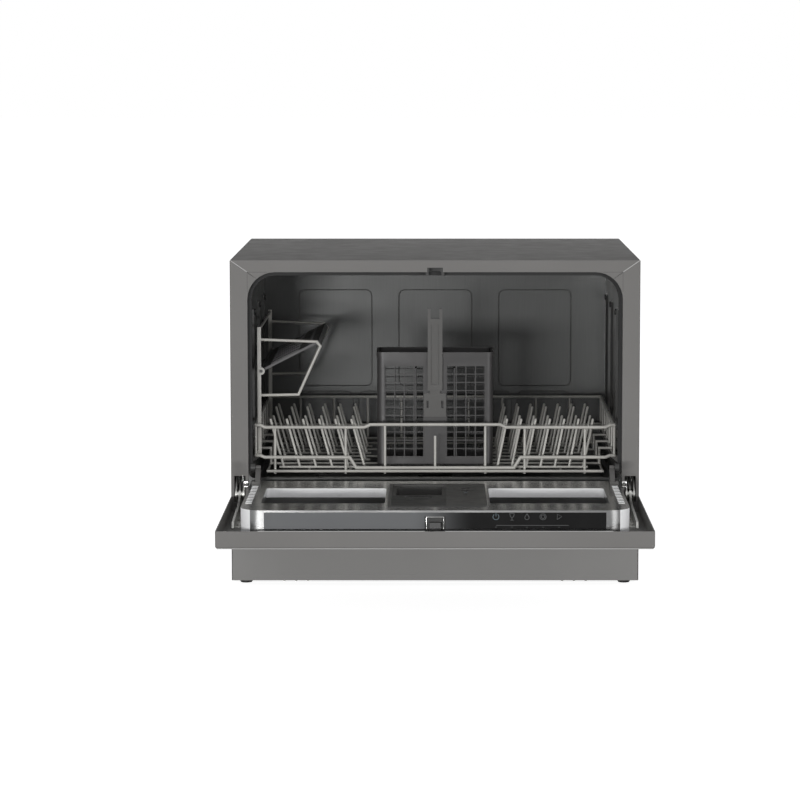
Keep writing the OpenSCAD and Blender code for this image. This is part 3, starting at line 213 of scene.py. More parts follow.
class Finish:
    """What a surface is made of. Each finish makes its material once."""

    name: str

    def material(self) -> bpy.types.Material:
        """Lays out the nodes; every finish has its own way."""
        raise NotImplementedError

    def shared(self) -> bpy.types.Material:
        """The finish's material, made at its first use."""
        return bpy.data.materials.get(self.name) or self.material()


@dataclass(frozen=True)
class Paint(Finish):
    """Satin paint on sheet steel, with a faint orange peel."""

    name: str
    colour: Rgb
    roughness: float = 0.42
    metallic: float = 0.0
    specular: float = 0.012
    peel: float = 0.00003

    def material(self) -> bpy.types.Material:
        """Lays out the paint's nodes."""
        recipe = Recipe(self.name, self.colour, self.roughness)
        recipe.shader.inputs["Metallic"].default_value = self.metallic
        recipe.shader.inputs["Specular IOR Level"].default_value = self.specular
        recipe.vary_colour(recipe.noise(7.0), lighter(self.colour, 0.97), lighter(self.colour, 1.03))
        recipe.vary_roughness(recipe.noise(40.0), self.roughness - 0.04, self.roughness + 0.05)
        recipe.bump(recipe.noise(900.0, detail=1.0), self.peel)
        return recipe.material


@dataclass(frozen=True)
class BrushedMetal(Finish):
    """Bare metal with a drawn grain."""

    name: str
    colour: Rgb
    roughness: float
    grain: Grain
    scratch: float = 0.00002
    contrast: float = 0.08
    edge: float = 1.0

    def material(self) -> bpy.types.Material:
        """Lays out the metal's nodes."""
        recipe = Recipe(self.name, self.colour, self.roughness)
        recipe.shader.inputs["Metallic"].default_value = 1.0
        recipe.shader.inputs["Specular Tint"].default_value = (self.edge, self.edge, self.edge, 1.0)
        streaks = recipe.noise(22.0, self.grain.value, 4.0)
        recipe.vary_colour(streaks, lighter(self.colour, 1 - self.contrast), lighter(self.colour, 1 + self.contrast))
        recipe.vary_roughness(recipe.noise(9.0), self.roughness - 0.05, self.roughness + 0.06)
        recipe.bump(streaks, self.scratch)
        return recipe.material


@dataclass(frozen=True)
class Moulded(Finish):
    """Moulded plastic or rubber with a fine spark-eroded grain."""

    name: str
    colour: Rgb
    roughness: float
    texture: float = 0.00004
    texture_scale: float = 1400.0
    specular: float = 0.4
    coat: float = 0.0

    def material(self) -> bpy.types.Material:
        """Lays out the plastic's nodes."""
        recipe = Recipe(self.name, self.colour, self.roughness)
        recipe.shader.inputs["Specular IOR Level"].default_value = self.specular
        recipe.shader.inputs["Coat Weight"].default_value = self.coat
        recipe.vary_colour(recipe.noise(18.0), lighter(self.colour, 0.93), lighter(self.colour, 1.07))
        recipe.vary_roughness(recipe.noise(60.0), self.roughness - 0.05, self.roughness + 0.05)
        recipe.bump(recipe.noise(self.texture_scale, detail=2.0), self.texture)
        return recipe.material


@dataclass(frozen=True)
class FadingStrip(Finish):
    """Dark glossy strip whose colour runs from grey into black along X: a painted reflection."""

    name: str
    pale: Rgb
    dark: Rgb
    fade_from: float
    fade_to: float
    roughness: float = 0.2

    def material(self) -> bpy.types.Material:
        """Lays out the strip's nodes."""
        recipe = Recipe(self.name, self.pale, self.roughness)
        recipe.shader.inputs["Specular IOR Level"].default_value = 0.15
        # The grey-to-black fade along X is a painted reflection.
        split = recipe.node("ShaderNodeSeparateXYZ")
        recipe.join(recipe.place, split.inputs["Vector"])
        ramp = recipe.node("ShaderNodeMapRange")
        ramp.interpolation_type = "SMOOTHSTEP"
        ramp.inputs["From Min"].default_value = self.fade_from
        ramp.inputs["From Max"].default_value = self.fade_to
        recipe.join(split.outputs["X"], ramp.inputs["Value"])
        recipe.mix_colours(ramp.outputs["Result"], self.pale, self.dark)
        recipe.vary_roughness(recipe.noise(50.0), self.roughness - 0.04, self.roughness + 0.05)
        recipe.bump(recipe.noise(30.0, (1.0, 30.0, 30.0)), 0.000004)
        return recipe.material


@dataclass(frozen=True)
class Spangled(Finish):
    """Zinc plating, with the soft crystal patches that it dries in."""

    name: str
    colour: Rgb
    roughness: float = 0.38

    def material(self) -> bpy.types.Material:
        """Lays out the plating's nodes."""
        recipe = Recipe(self.name, self.colour, self.roughness)
        recipe.shader.inputs["Metallic"].default_value = 1.0
        cells = recipe.node("ShaderNodeTexVoronoi")
        cells.inputs["Scale"].default_value = 160.0
        recipe.join(recipe.place, cells.inputs["Vector"])
        recipe.vary_colour(cells.outputs["Distance"], lighter(self.colour, 1.08), lighter(self.colour, 0.88))
        recipe.vary_roughness(cells.outputs["Distance"], self.roughness - 0.06, self.roughness + 0.08)
        recipe.bump(recipe.noise(500.0), 0.00002)
        return recipe.material


BODY_PAINT = Paint("body paint", (0.195, 0.190, 0.184))
# The body paint again, darker, for the upward faces of the top: painted shade.
TOP_PAINTED_SHADE = Paint("paint of the flat top", (0.122, 0.119, 0.114))
# The body paint again, lighter, for the plinth: painted light that lifts the door's shadow off it.
PLINTH_PAINTED_LIGHT = Paint("plinth paint", (0.262, 0.258, 0.252))
# Stainless steel of the tub, painted far darker than the liner's: a painted dark reflection, that is painted shade.
TUB_PAINTED_SHADE = BrushedMetal("tub steel", (0.072, 0.073, 0.072), 0.34, Grain.ALONG_Z, 0.000008, 0.035)
# The tub's steel again for its side walls, lighter than the back wall as painted light, and still far darker than the
# liner as painted shade.
SIDE_WALL_LIGHT_AND_SHADE = BrushedMetal("tub wall steel", (0.21, 0.21, 0.207), 0.34, Grain.ALONG_Y, 0.000008, 0.035)
LINER_STEEL = BrushedMetal("liner steel", (0.62, 0.62, 0.615), 0.20, Grain.ALONG_X, 0.000006)
# Near-white paint on the liner's outer corners and on the far walls of its recesses: painted reflection.
LINER_PAINTED_REFLECTION = Paint("painted reflection on the liner", (0.90, 0.90, 0.905), 0.3, specular=0.5, peel=0.0)
# The liner's steel made dark, with dark edges, on the floors of its recesses: painted shade.
RECESS_PAINTED_SHADE = BrushedMetal("recess floors darkened as painted shade", (0.30, 0.30, 0.30), 0.3, Grain.ALONG_X, 0.000006, edge=0.02)
PIPE_STEEL = BrushedMetal("heater steel", (0.50, 0.50, 0.48), 0.3, Grain.ALONG_X)
ZINC = Spangled("zinc plating", (0.52, 0.52, 0.50))
SPRING = BrushedMetal("spring wire", (0.50, 0.50, 0.49), 0.3, Grain.ALONG_Z)
WIRE_COAT = Moulded("coated wire", (0.43, 0.42, 0.39), 0.32, texture=0.00001, specular=0.5)
BASKET_PLASTIC = Moulded("basket plastic", (0.048, 0.046, 0.046), 0.42)
SHELF_PLASTIC = Moulded("shelf plastic", (0.080, 0.077, 0.078), 0.45)
GREY_PLASTIC = Moulded("grey plastic", (0.075, 0.073, 0.070), 0.42)
DARK_PLASTIC = Moulded("dark plastic", (0.030, 0.030, 0.029), 0.4)
BLACK_PLASTIC = Moulded("black plastic", (0.02, 0.02, 0.02), 0.45)
WHITE_PLASTIC = Moulded("white plastic", (0.62, 0.62, 0.60), 0.4)
# Grey at the left fading to black at the right: painted reflection.
STRIP_PAINTED_REFLECTION = FadingStrip("glossy strip with a painted reflection", (0.14, 0.143, 0.147), (0.012, 0.012, 0.012), -0.035, 0.05)
PRINT = Moulded("pale print", (0.075, 0.077, 0.078), 0.5, texture=0.0)
PRINT_LIT = Moulded("lit print", (0.11, 0.15, 0.17), 0.4, texture=0.0)
# Bright metal for the latch frame and hinge plates, and as a painted highlight on the door's upper fold.
SHINY_TRIM_AND_HIGHLIGHT = BrushedMetal("shiny trim and painted highlight", (0.60, 0.60, 0.59), 0.18, Grain.ALONG_X, 0.000005)
# Light paint for the folded edges of the case and the door: painted highlight.
EDGE_HIGHLIGHT = Paint("painted highlight on a folded edge", (0.46, 0.455, 0.45), 0.38)
# Dark colour for the corner joints, and as painted shade along the edges of the pressed fields.
SEAM_SHADE = Moulded("joint filler", (0.055, 0.054, 0.052), 0.6, texture=0.0)
SIGHT_GLASS = Moulded("sight glass", (0.02, 0.03, 0.035), 0.08, texture=0.0, specular=0.6, coat=0.6)
DARK_STEEL = BrushedMetal("dark steel", (0.09, 0.09, 0.09), 0.35, Grain.ALONG_Y)
RUBBER = Moulded("rubber", (0.012, 0.012, 0.012), 0.6, specular=0.15)
BITUMEN = Moulded("bitumen mat", (0.035, 0.033, 0.030), 0.75, texture=0.0003, texture_scale=260.0)
BOARD = Moulded("circuit board", (0.02, 0.12, 0.05), 0.3)

FINISHES: dict[Finish, tuple[str, ...]] = {
    BODY_PAINT: ("top_panel", "side_panel_left", "side_panel_right", "back_panel", "door_panel"),
    PLINTH_PAINTED_LIGHT: ("plinth_panel",),
    TUB_PAINTED_SHADE: ("tub",),
    LINER_STEEL: ("door_liner", "filter_plate"),
    PIPE_STEEL: ("heater",),
    ZINC: ("base_pan", "case_screws", "hinge_bracket_left", "hinge_bracket_right", "hinge_arm_left",
           "hinge_arm_right"),
    DARK_STEEL: ("latch_bolt",),
    SPRING: ("door_spring_left", "door_spring_right"),
    WIRE_COAT: ("rack_frame", "rack_floor", "tines_left", "tines_right", "shelf_stand"),
    BASKET_PLASTIC: ("basket_body", "basket_mesh"),
    SHELF_PLASTIC: ("cup_shelf",),
    GREY_PLASTIC: ("basket_handle", "dispenser_body", "rinse_cap", "spray_arm", "spray_hub",
                   "filter_cup", "runner_left", "runner_right", "roller_bracket_left", "roller_bracket_right"),
    BLACK_PLASTIC: ("sump", "circulation_pump", "drain_pump", "drain_spigot"),
    WHITE_PLASTIC: ("inlet_valve", "air_break"),
    DARK_PLASTIC: ("detergent_lid", "latch_housing", "door_strike", "handle_pocket", "roller_left", "roller_right"),
    STRIP_PAINTED_REFLECTION: ("control_panel",),
    RUBBER: ("door_gasket", "bottom_seal", "cord_gland", "foot_front_left", "foot_front_right", "foot_rear_left",
             "foot_rear_right"),
    BITUMEN: ("sound_mat", "damping_pad"),
    BOARD: ("control_board",),
}


def dress(node: bpy.types.Object, material: bpy.types.Material) -> None:
    """Gives a carried-over piece its finish and smooth rounds.

    Args:
        node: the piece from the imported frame.
        material: the finish for all its faces.
    """
    node.data.materials.clear()
    node.data.materials.append(material)
    node.data.polygons.foreach_set("use_smooth", [True] * len(node.data.polygons))
    weld = node.modifiers.new("weld", "WELD")
    weld.merge_threshold = 0.000002
    split = node.modifiers.new("sharp edges", "EDGE_SPLIT")
    split.split_angle = math.radians(32)


def dress_faces(node: bpy.types.Object, material: bpy.types.Material,
                wanted: Callable[[bpy.types.MeshPolygon], bool]) -> None:
    """Gives some faces of a dressed piece a second finish.

    Args:
        node: the dressed piece.
        material: the finish for the wanted faces.
        wanted: says whether a face takes it.
    """
    node.data.materials.append(material)
    last = len(node.data.materials) - 1
    for face in node.data.polygons:
        if wanted(face):
            face.material_index = last


def deselect() -> None:
    """Leaves edit mode and selects nothing."""
    if bpy.context.object is not None and bpy.context.object.mode != "OBJECT":
        bpy.ops.object.mode_set(mode="OBJECT")
    bpy.ops.object.select_all(action="DESELECT")


def pick_faces(piece: bpy.types.Object, wanted: Callable[[bpy.types.MeshPolygon], bool]) -> None:
    """Enters edit mode with only the wanted faces selected.

    Args:
        piece: the active mesh.
        wanted: says whether a face is selected.
    """
    bpy.ops.object.mode_set(mode="EDIT")
    bpy.ops.mesh.select_mode(type="FACE")
    bpy.ops.mesh.select_all(action="DESELECT")
    bpy.ops.object.mode_set(mode="OBJECT")
    for face in piece.data.polygons:
        face.select = wanted(face)
    bpy.ops.object.mode_set(mode="EDIT")
    bpy.ops.mesh.select_mode(type="FACE")


def settle(piece: bpy.types.Object, angle: float = 35.0) -> bpy.types.Object:
    """Puts the piece's place into its mesh, and smooths what is round.

    Args:
        piece: the mesh that was just modelled.
        angle: degrees under which an edge is smooth.

    Returns:
        The same piece.
    """
    deselect()
    piece.select_set(True)
    bpy.context.view_layer.objects.active = piece
    bpy.ops.object.transform_apply(location=True, rotation=True, scale=True)
    bpy.ops.object.shade_smooth_by_angle(angle=math.radians(angle))
    return piece


def soften(piece: bpy.types.Object, width: float, segments: int = 2) -> None:
    """Rounds the edges of a piece with a bevel that is applied.

    Args:
        piece: the mesh to round.
        width: radius in metres.
        segments: facets of each round.
    """
    bevel = piece.modifiers.new("bevel", "BEVEL")
    bevel.width = width
    bevel.segments = segments
    bevel.limit_method = "ANGLE"
    bpy.context.view_layer.objects.active = piece
    bpy.ops.object.modifier_apply(modifier=bevel.name)


def block(name: str, low: Xyz, high: Xyz, radius: float = 0.0) -> bpy.types.Object:
    """A block between two corners, with softened edges.

    Args:
        name: the piece's name.
        low: its lowest corner in metres.
        high: its highest corner.
        radius: how far its edges are rounded.

    Returns:
        The finished mesh object.
    """
    deselect()
    middle = [(a + b) / 2 for a, b in zip(low, high)]
    bpy.ops.mesh.primitive_cube_add(size=1.0, location=middle)
    piece = bpy.context.object
    piece.name = name
    piece.scale = [b - a for a, b in zip(low, high)]
    bpy.ops.object.transform_apply(location=False, rotation=False, scale=True)
    if radius:
        soften(piece, radius)
    return settle(piece)


def joined(name: str, pieces: Sequence[bpy.types.Object]) -> bpy.types.Object:
    """Joins meshes into one piece.

    Args:
        name: the new piece's name.
        pieces: the meshes.

    Returns:
        The joined mesh.
    """
    deselect()
    for piece in pieces:
        piece.select_set(True)
    bpy.context.view_layer.objects.active = pieces[0]
    if len(pieces) > 1:
        bpy.ops.object.join()
    pieces[0].name = name
    return settle(pieces[0])


def rod(name: str, points: Sequence[Xyz], radius: float, sides: int = 12, closed: bool = False) -> bpy.types.Object:
    """A bent wire swept along its points.

    Args:
        name: the piece's name.
        points: corners of the wire in metres.
        radius: radius of the wire.
        sides: faces round the wire.
        closed: whether the last point joins the first.

    Returns:
        The wire as a mesh.
    """
    deselect()
    curve = bpy.data.curves.new(name, "CURVE")
    curve.dimensions = "3D"
    curve.bevel_depth = radius
    curve.bevel_resolution = max(1, sides // 4 - 1)
    curve.use_fill_caps = not closed
    spline = curve.splines.new("POLY")
    spline.points.add(len(points) - 1)
    for knot, place in zip(spline.points, points):
        knot.co = (*place, 1.0)
    spline.use_cyclic_u = closed
    wire = bpy.data.objects.new(name, curve)
    bpy.context.scene.collection.objects.link(wire)
    wire.select_set(True)
    bpy.context.view_layer.objects.active = wire
    bpy.ops.object.convert(target="MESH")
    return settle(bpy.context.object, 50.0)


def tube(name: str, points: Sequence[Xyz], radius: float, sides: int = 8) -> bpy.types.Object:
    """A fine wire along many points, such as the turns of a spring or the ridge of a thread."""
    return rod(name, points, radius, sides)


@dataclass
class Assembly:
    """A sub-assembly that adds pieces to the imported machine."""

    body: str = "cabinet"
    built: list[bpy.types.Object] = field(default_factory=list)

    def add(self, piece: bpy.types.Object, finish: Finish, body: str | None = None) -> bpy.types.Object:
        """Dresses a finished piece and makes it ride on its body.

        Args:
            piece: the finished mesh.
            finish: what its surface is made of.
            body: the body that carries it, where it isn't the assembly's own.

        Returns:
            The same piece.
        """
        piece.data.materials.clear()
        piece.data.materials.append(finish.shared())
        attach(piece, body or self.body)
        self.built.append(piece)
        return piece


@dataclass
class Cabinet(Assembly):
    """Edges, joints and screws of the painted case."""

    fold_radius: float = 0.0007
    seam_width: float = 0.0004
    corner_radius: float = 0.037
    head_radius: float = 0.0038
    head_height: float = 0.002
    screw_inset: float = 0.009
    screw_heights: tuple[float, float, float] = (0.030, 0.220, 0.412)

    def build(self) -> list[bpy.types.Object]:
        """Builds every piece of the case.

        Returns:
            The pieces.
        """
        for side in Side:
            self.folded_mitre(side)
            self.corner_seam(side)
            self.hinge_plate(side)
        self.screws()
        return self.built

    def folded_mitre(self, side: Side) -> None:
        """The fold where the flanges of top and side meet, made bright as a painted highlight."""
        low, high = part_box(f"side_panel_{side.word}")
        outer = abs(low[0]) if side is Side.LEFT else high[0]
        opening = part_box("door_gasket")[1]
        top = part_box("top_panel")[1][2]
        face = low[1]
        start = (side.value * (outer - 0.0011), face + 0.0004, top - 0.0009)
        end = (side.value * (opening[0] + 0.0004), face + 0.0001, opening[2] + 0.0004)
        steps = [(0.0, 0.0003), (0.06, 0.0), (0.5, -0.00005), (0.94, 0.0), (1.0, 0.0003)]
        points = [tuple(a + (b - a) * t + (sink if axis == 1 else 0.0)
                        for axis, (a, b) in enumerate(zip(start, end))) for t, sink in steps]
        self.add(rod(f"mitre_fold_{side.word}", points, self.fold_radius, 12), EDGE_HIGHLIGHT)

    def corner_seam(self, side: Side) -> None:
        """The fine joint round the square corner, inside which the flange of the tub shows."""
        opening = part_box("door_gasket")[1]
        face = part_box("top_panel")[0][1]
        x, z = side.value * opening[0], opening[2]
        reach = self.corner_radius * 0.72
        wide, proud = self.seam_width, 0.00006
        level = block("seam", (min(x, x - side.value * reach), face - proud, z - wide / 2),
                      (max(x, x - side.value * reach), face + 0.0002, z + wide / 2), 0.00003)
        upright = block("seam", (x - wide / 2, face - proud, z - reach), (x + wide / 2, face + 0.0002, z - wide / 2),
                        0.00003)
        self.add(joined(f"corner_seam_{side.word}", [level, upright]), SEAM_SHADE)

    def hinge_plate(self, side: Side) -> None:
        """The plate beside the hinge slot, with a pressed bar under it."""
        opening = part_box("door_gasket")[1]
        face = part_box("top_panel")[0][1]
        inner, outer = sorted((side.value * (opening[0] + 0.0002), side.value * (opening[0] + 0.0062)))
        parts = [block("bar", (inner, face - 0.0009, low), (outer, face + 0.0001, low + tall), 0.0003)
                 for low, tall in ((0.1362, 0.0052), (0.1326, 0.0022))]
        self.add(joined(f"hinge_plate_{side.word}", parts), SHINY_TRIM_AND_HIGHLIGHT)

    def screws(self) -> None:
        """Pan-head screws with cross recesses, in place of the plain ones."""
        low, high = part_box("case_screws")
        first = self.pan_head((low[0] + self.head_radius, high[1], self.screw_heights[0]))
        heads = [first]
        for x in (low[0] + self.head_radius, high[0] - self.head_radius):
            for z in self.screw_heights:
                if len(heads) == 6:
                    break
                copy = first.copy()
                copy.data = first.data.copy()
                bpy.context.scene.collection.objects.link(copy)
                copy.location = (x - (low[0] + self.head_radius), 0.0, z - self.screw_heights[0])
                if copy.location.length < 1e-6:
                    bpy.data.objects.remove(copy)
                    continue
                heads.append(settle(copy))
        screws = self.add(joined("back_screws", heads), ZINC)
        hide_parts("case_screws")

    def pan_head(self, tip: Xyz) -> bpy.types.Object:
        """One screw with its head towards the back.

        Args:
            tip: middle of the head's outer face.

        Returns:
            The screw.
        """
        deselect()
        bpy.ops.mesh.primitive_cylinder_add(vertices=24, radius=self.head_radius, depth=self.head_height,
                                            location=(0.0, 0.0, 0.0))
        head = bpy.context.object
        pick_faces(head, lambda face: face.normal.z > 0.9)
        bpy.ops.mesh.inset(thickness=0.0009)
        bpy.ops.transform.translate(value=(0.0, 0.0, 0.0004))
        bpy.ops.object.mode_set(mode="OBJECT")
        pick_faces(head, lambda face: face.normal.z < -0.9)
        bpy.ops.mesh.inset(thickness=self.head_radius - 0.0018)
        bpy.ops.mesh.extrude_region_move(TRANSFORM_OT_translate={"value": (0.0, 0.0, -0.007)})
        bpy.ops.object.mode_set(mode="OBJECT")
        cross = [block("cut", (-0.0018, -0.00045, -0.0004), (0.0018, 0.00045, 0.003)),
                 block("cut", (-0.00045, -0.0018, -0.0004), (0.00045, 0.0018, 0.003))]
        for cutter in cross:
            hole = head.modifiers.new("recess", "BOOLEAN")
            hole.object = cutter
            hole.solver = "EXACT"
            bpy.context.view_layer.objects.active = head
            bpy.ops.object.modifier_apply(modifier=hole.name)
            bpy.data.objects.remove(cutter)
        head.rotation_euler = (math.radians(-90), 0.0, 0.0)
        head.location = (tip[0], tip[1] - self.head_height / 2 - 0.0004, tip[2])
        return settle(head)


@dataclass
class WashTub(Assembly):
    """Plugs of the side walls, dark painted-shade edges of the pressed fields and the nut of the spray arm."""

    plug_radius: float = 0.0042
    plug_height: float = 0.3612
    wall_inset: float = 0.003
    plug_depths: tuple[float, float, float] = (0.0175, 0.1456, 0.2743)
    back_plane: float = 0.3219
    edge_radius: float = 0.0008
    field_corner: float = 0.009
    fields: tuple[tuple[float, float, float, float], ...] = (
        (-0.200, -0.093, 0.2265, 0.3685), (-0.0535, 0.054, 0.2265, 0.3685), (0.0935, 0.200, 0.2265, 0.3685),
        (-0.200, -0.121, 0.1575, 0.2185), (-0.113, 0.113, 0.1575, 0.2185), (0.121, 0.200, 0.1575, 0.2185))

    def build(self) -> list[bpy.types.Object]:
        """Builds the pieces of the tub.

        Returns:
            The pieces.
        """
        for side in Side:
            plugs = [self.plug(side, y) for y in self.plug_depths]
            self.add(joined(f"wall_plugs_{side.word}", plugs), BLACK_PLASTIC)
        for number, field_box in enumerate(self.fields, 1):
            self.pressed_edge(f"field_edge_{number}", field_box)
        self.hub_nut()
        return self.built

    def pressed_edge(self, name: str, field_box: tuple[float, float, float, float]) -> None:
        """The fold round one pressed field of the back wall, as a dark rod of painted shade.

        Args:
            name: the piece's name.
            field_box: the field's left, right, lower and upper edge.
        """
        left, right, bottom, top = field_box
        r = self.field_corner
        points = []
        for x, z, start in ((right - r, top - r, 0), (left + r, top - r, 90), (left + r, bottom + r, 180),
                            (right - r, bottom + r, 270)):
            for step in range(6):
                angle = math.radians(start + 18 * step)
                points.append((x + r * math.cos(angle), 0.0, z + r * math.sin(angle)))
        edge = rod(name, points, self.edge_radius, 8, closed=True)
        edge.scale = (1.0, 0.4, 1.0)
        edge.location = (0.0, self.back_plane, 0.0)
        self.add(settle(edge), SEAM_SHADE)

    def plug(self, side: Side, y: float) -> bpy.types.Object:
        """A push-in plug with a rounded rim and a dimple, at the head of a bead."""
        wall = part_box("door_gasket")[1][0] - self.wall_inset
        deselect()
        bpy.ops.mesh.primitive_cylinder_add(vertices=28, radius=self.plug_radius, depth=0.0022)
        plug = bpy.context.object
        soften(plug, 0.0006, 3)
        pick_faces(plug, lambda face: face.normal.z > 0.99 and face.area > 1e-5)
        bpy.ops.mesh.inset(thickness=0.0012)
        bpy.ops.transform.translate(value=(0.0, 0.0, -0.0006))
        bpy.ops.object.mode_set(mode="OBJECT")
        plug.rotation_euler = (0.0, math.radians(-90 * side.value), 0.0)
        plug.location = (side.value * (wall - 0.0006), y, self.plug_height)
        return settle(plug)

    def hub_nut(self) -> None:
        """The fluted cap that holds the spray arm on its post."""
        low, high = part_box("spray_hub")
        middle = [(a + b) / 2 for a, b in zip(low, high)]
        deselect()
        bpy.ops.mesh.primitive_cylinder_add(vertices=36, radius=0.0128, depth=0.0052,
                                            location=(middle[0], middle[1], high[2] + 0.0015))
        nut = bpy.context.object
        nut.name = "spray_arm_nut"
        pick_faces(nut, lambda face: abs(face.normal.z) < 0.1 and face.index % 3 == 0)
        bpy.ops.mesh.inset(thickness=0.0003, use_individual=True)
        bpy.ops.transform.resize(value=(0.93, 0.93, 1.0), center_override=(middle[0], middle[1], high[2]))
        bpy.ops.object.mode_set(mode="OBJECT")
        pick_faces(nut, lambda face: face.normal.z > 0.9)
        bpy.ops.mesh.inset(thickness=0.0022)
        bpy.ops.mesh.extrude_region_move(TRANSFORM_OT_translate={"value": (0.0, 0.0, 0.0016)})
        bpy.ops.mesh.inset(thickness=0.0018)
        bpy.ops.transform.translate(value=(0.0, 0.0, -0.0009))
        bpy.ops.object.mode_set(mode="OBJECT")
        soften(nut, 0.0002, 1)
        self.add(settle(nut), GREY_PLASTIC)


@dataclass
class ControlStrip(Assembly):
    """Generic touch symbols on the strip at the front of the liner."""

    body: str = "door"
    stroke: float = 0.00033
    icon_height: float = 0.1366
    line_height: float = 0.1257
    tick_height: float = 0.1236
    icon_places: tuple[float, ...] = (0.0764, 0.0965, 0.1153, 0.1354, 0.1555)

    def build(self) -> list[bpy.types.Object]:
        """Draws the symbols, the line under them and its ticks.

        Returns:
            The pieces.
        """
        names = ("power", "glass", "drop", "plate", "start")
        for name, x, strokes in zip(names, self.icon_places, self.symbols()):
            parts = [self.line(points, (x, self.icon_height)) for points in strokes]
            finish = PRINT_LIT if name == "power" else PRINT
            self.add(joined(f"symbol_{name}", parts), finish)
        ends = [self.line([(-0.0455, 0.0), (0.0455, 0.0)], (0.1222, self.line_height))]
        ends += [self.line([(-0.0011, 0.0), (0.0011, 0.0)], (x, self.tick_height)) for x in self.icon_places]
        self.add(joined("symbol_guide", ends), PRINT)
        return self.built

    @property
    def face(self) -> float:
        """Where the strip's front lies."""
        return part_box("control_panel")[0][1]

    def line(self, points: Sequence[Xz], centre: Xz) -> bpy.types.Object:
        """A raised printed stroke.

        Args:
            points: the stroke's corners from the symbol's middle, in X and Z.
            centre: the symbol's middle.

        Returns:
            The stroke as a flattened bead on the strip.
        """
        path = [(centre[0] + x, 0.0, centre[1] + z) for x, z in points]
        bead = rod("stroke", path, self.stroke, 8)
        bead.scale = (1.0, 0.35, 1.0)
        bead.location = (0.0, self.face, 0.0)
        return settle(bead)

    def ring(self, radius: float, start: float = 0.0, sweep: float = 360.0, steps: int = 20,
             flat: float = 1.0) -> list[Xz]:
        """Points of an arc round the symbol's middle."""
        angles = [math.radians(start + sweep * i / steps) for i in range(steps + 1)]
        return [(radius * math.cos(a), radius * flat * math.sin(a)) for a in angles]

    def symbols(self) -> list[list[list[Xz]]]:
        """The strokes of each symbol: power, glass, drop, plate and start."""
        unit = 0.001
        drop = [(0.0, 4.2 * unit)] + [(x, z - 0.9 * unit) for x, z in self.ring(2.7 * unit, 50, -280)]
        return [
            [self.ring(3.7 * unit, 125, 290), [(0.0, 0.6 * unit), (0.0, 4.6 * unit)]],
            [[(-2.9 * unit, 4.2 * unit), (2.9 * unit, 4.2 * unit), (2.0 * unit, 0.2 * unit), (0.0, -1.2 * unit),
              (-2.0 * unit, 0.2 * unit), (-2.9 * unit, 4.2 * unit)],
             [(0.0, -1.2 * unit), (0.0, -4.0 * unit)], [(-2.0 * unit, -4.2 * unit), (2.0 * unit, -4.2 * unit)]],
            [drop + [drop[0]]],
            [self.ring(3.9 * unit), self.ring(2.2 * unit)],
            [[(-2.2 * unit, -3.4 * unit), (-2.2 * unit, 3.6 * unit), (3.4 * unit, 0.1 * unit),
              (-2.2 * unit, -3.4 * unit)]],
        ]


@dataclass
class DoorFittings(Assembly):
    """Trim of the latch, the sight glass of the dispenser and the folds along the door's front, bright as painted
    highlights.
    """

    body: str = "door"
    fold_radius: float = 0.0006
    rim_radius: float = 0.0011

    def build(self) -> list[bpy.types.Object]:
        """Builds the small parts round the door.

        Returns:
            The pieces.
        """
        self.latch_frame()
        self.sight_glass()
        self.front_folds()
        return self.built

    def front_folds(self) -> None:
        """The folds along the lower and the upper front edge of the door, made bright as painted highlights."""
        low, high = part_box("door_panel")
        y, z = low[1] + self.fold_radius, low[2] + self.fold_radius
        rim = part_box("control_panel")[0][2] - 0.0006
        for side in Side:
            # The upper fold in bright metal, lighter than the door's paint: painted highlight.
            ends = [(side.value * x, low[1] + self.rim_radius, rim) for x in (0.0125, 0.222)]
            self.add(rod(f"door_upper_fold_{side.word}", ends, self.rim_radius), SHINY_TRIM_AND_HIGHLIGHT)
        # The lower fold in light paint: painted highlight.
        self.add(rod("door_lower_fold", [(low[0] + 0.002, y, z), (high[0] - 0.002, y, z)], self.fold_radius), EDGE_HIGHLIGHT)

    def latch_frame(self) -> None:
        """Bright frame round the latch's window."""
        low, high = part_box("control_panel")
        face = low[1]
        deselect()
        bpy.ops.mesh.primitive_cube_add(size=1.0, location=(0.0, 0.0, 0.0))
        frame = bpy.context.object
        frame.name = "latch_frame"
        frame.scale = (0.0224, 0.0012, 0.0172)
        bpy.ops.object.transform_apply(location=False, rotation=False, scale=True)
        pick_faces(frame, lambda face_: abs(face_.normal.y) > 0.9)
        bpy.ops.mesh.inset(thickness=0.0009)
        bpy.ops.mesh.bridge_edge_loops()
        bpy.ops.object.mode_set(mode="OBJECT")
        soften(frame, 0.00025, 2)
        frame.location = (0.0, face - 0.0004, 0.1282)
        self.add(settle(frame), SHINY_TRIM_AND_HIGHLIGHT)

    def sight_glass(self) -> None:
        """The small lens that shows how much rinse aid is left."""
        low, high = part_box("rinse_cap")
        x = (low[0] + high[0]) / 2
        deselect()
        bpy.ops.mesh.primitive_uv_sphere_add(segments=24, ring_count=12, radius=0.0036)
        lens = bpy.context.object
        lens.name = "rinse_sight_glass"
        lens.scale = (1.0, 1.0, 0.35)
        lens.location = (x, low[1] - 0.0145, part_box("dispenser_body")[1][2])
        self.add(settle(lens), SIGHT_GLASS)


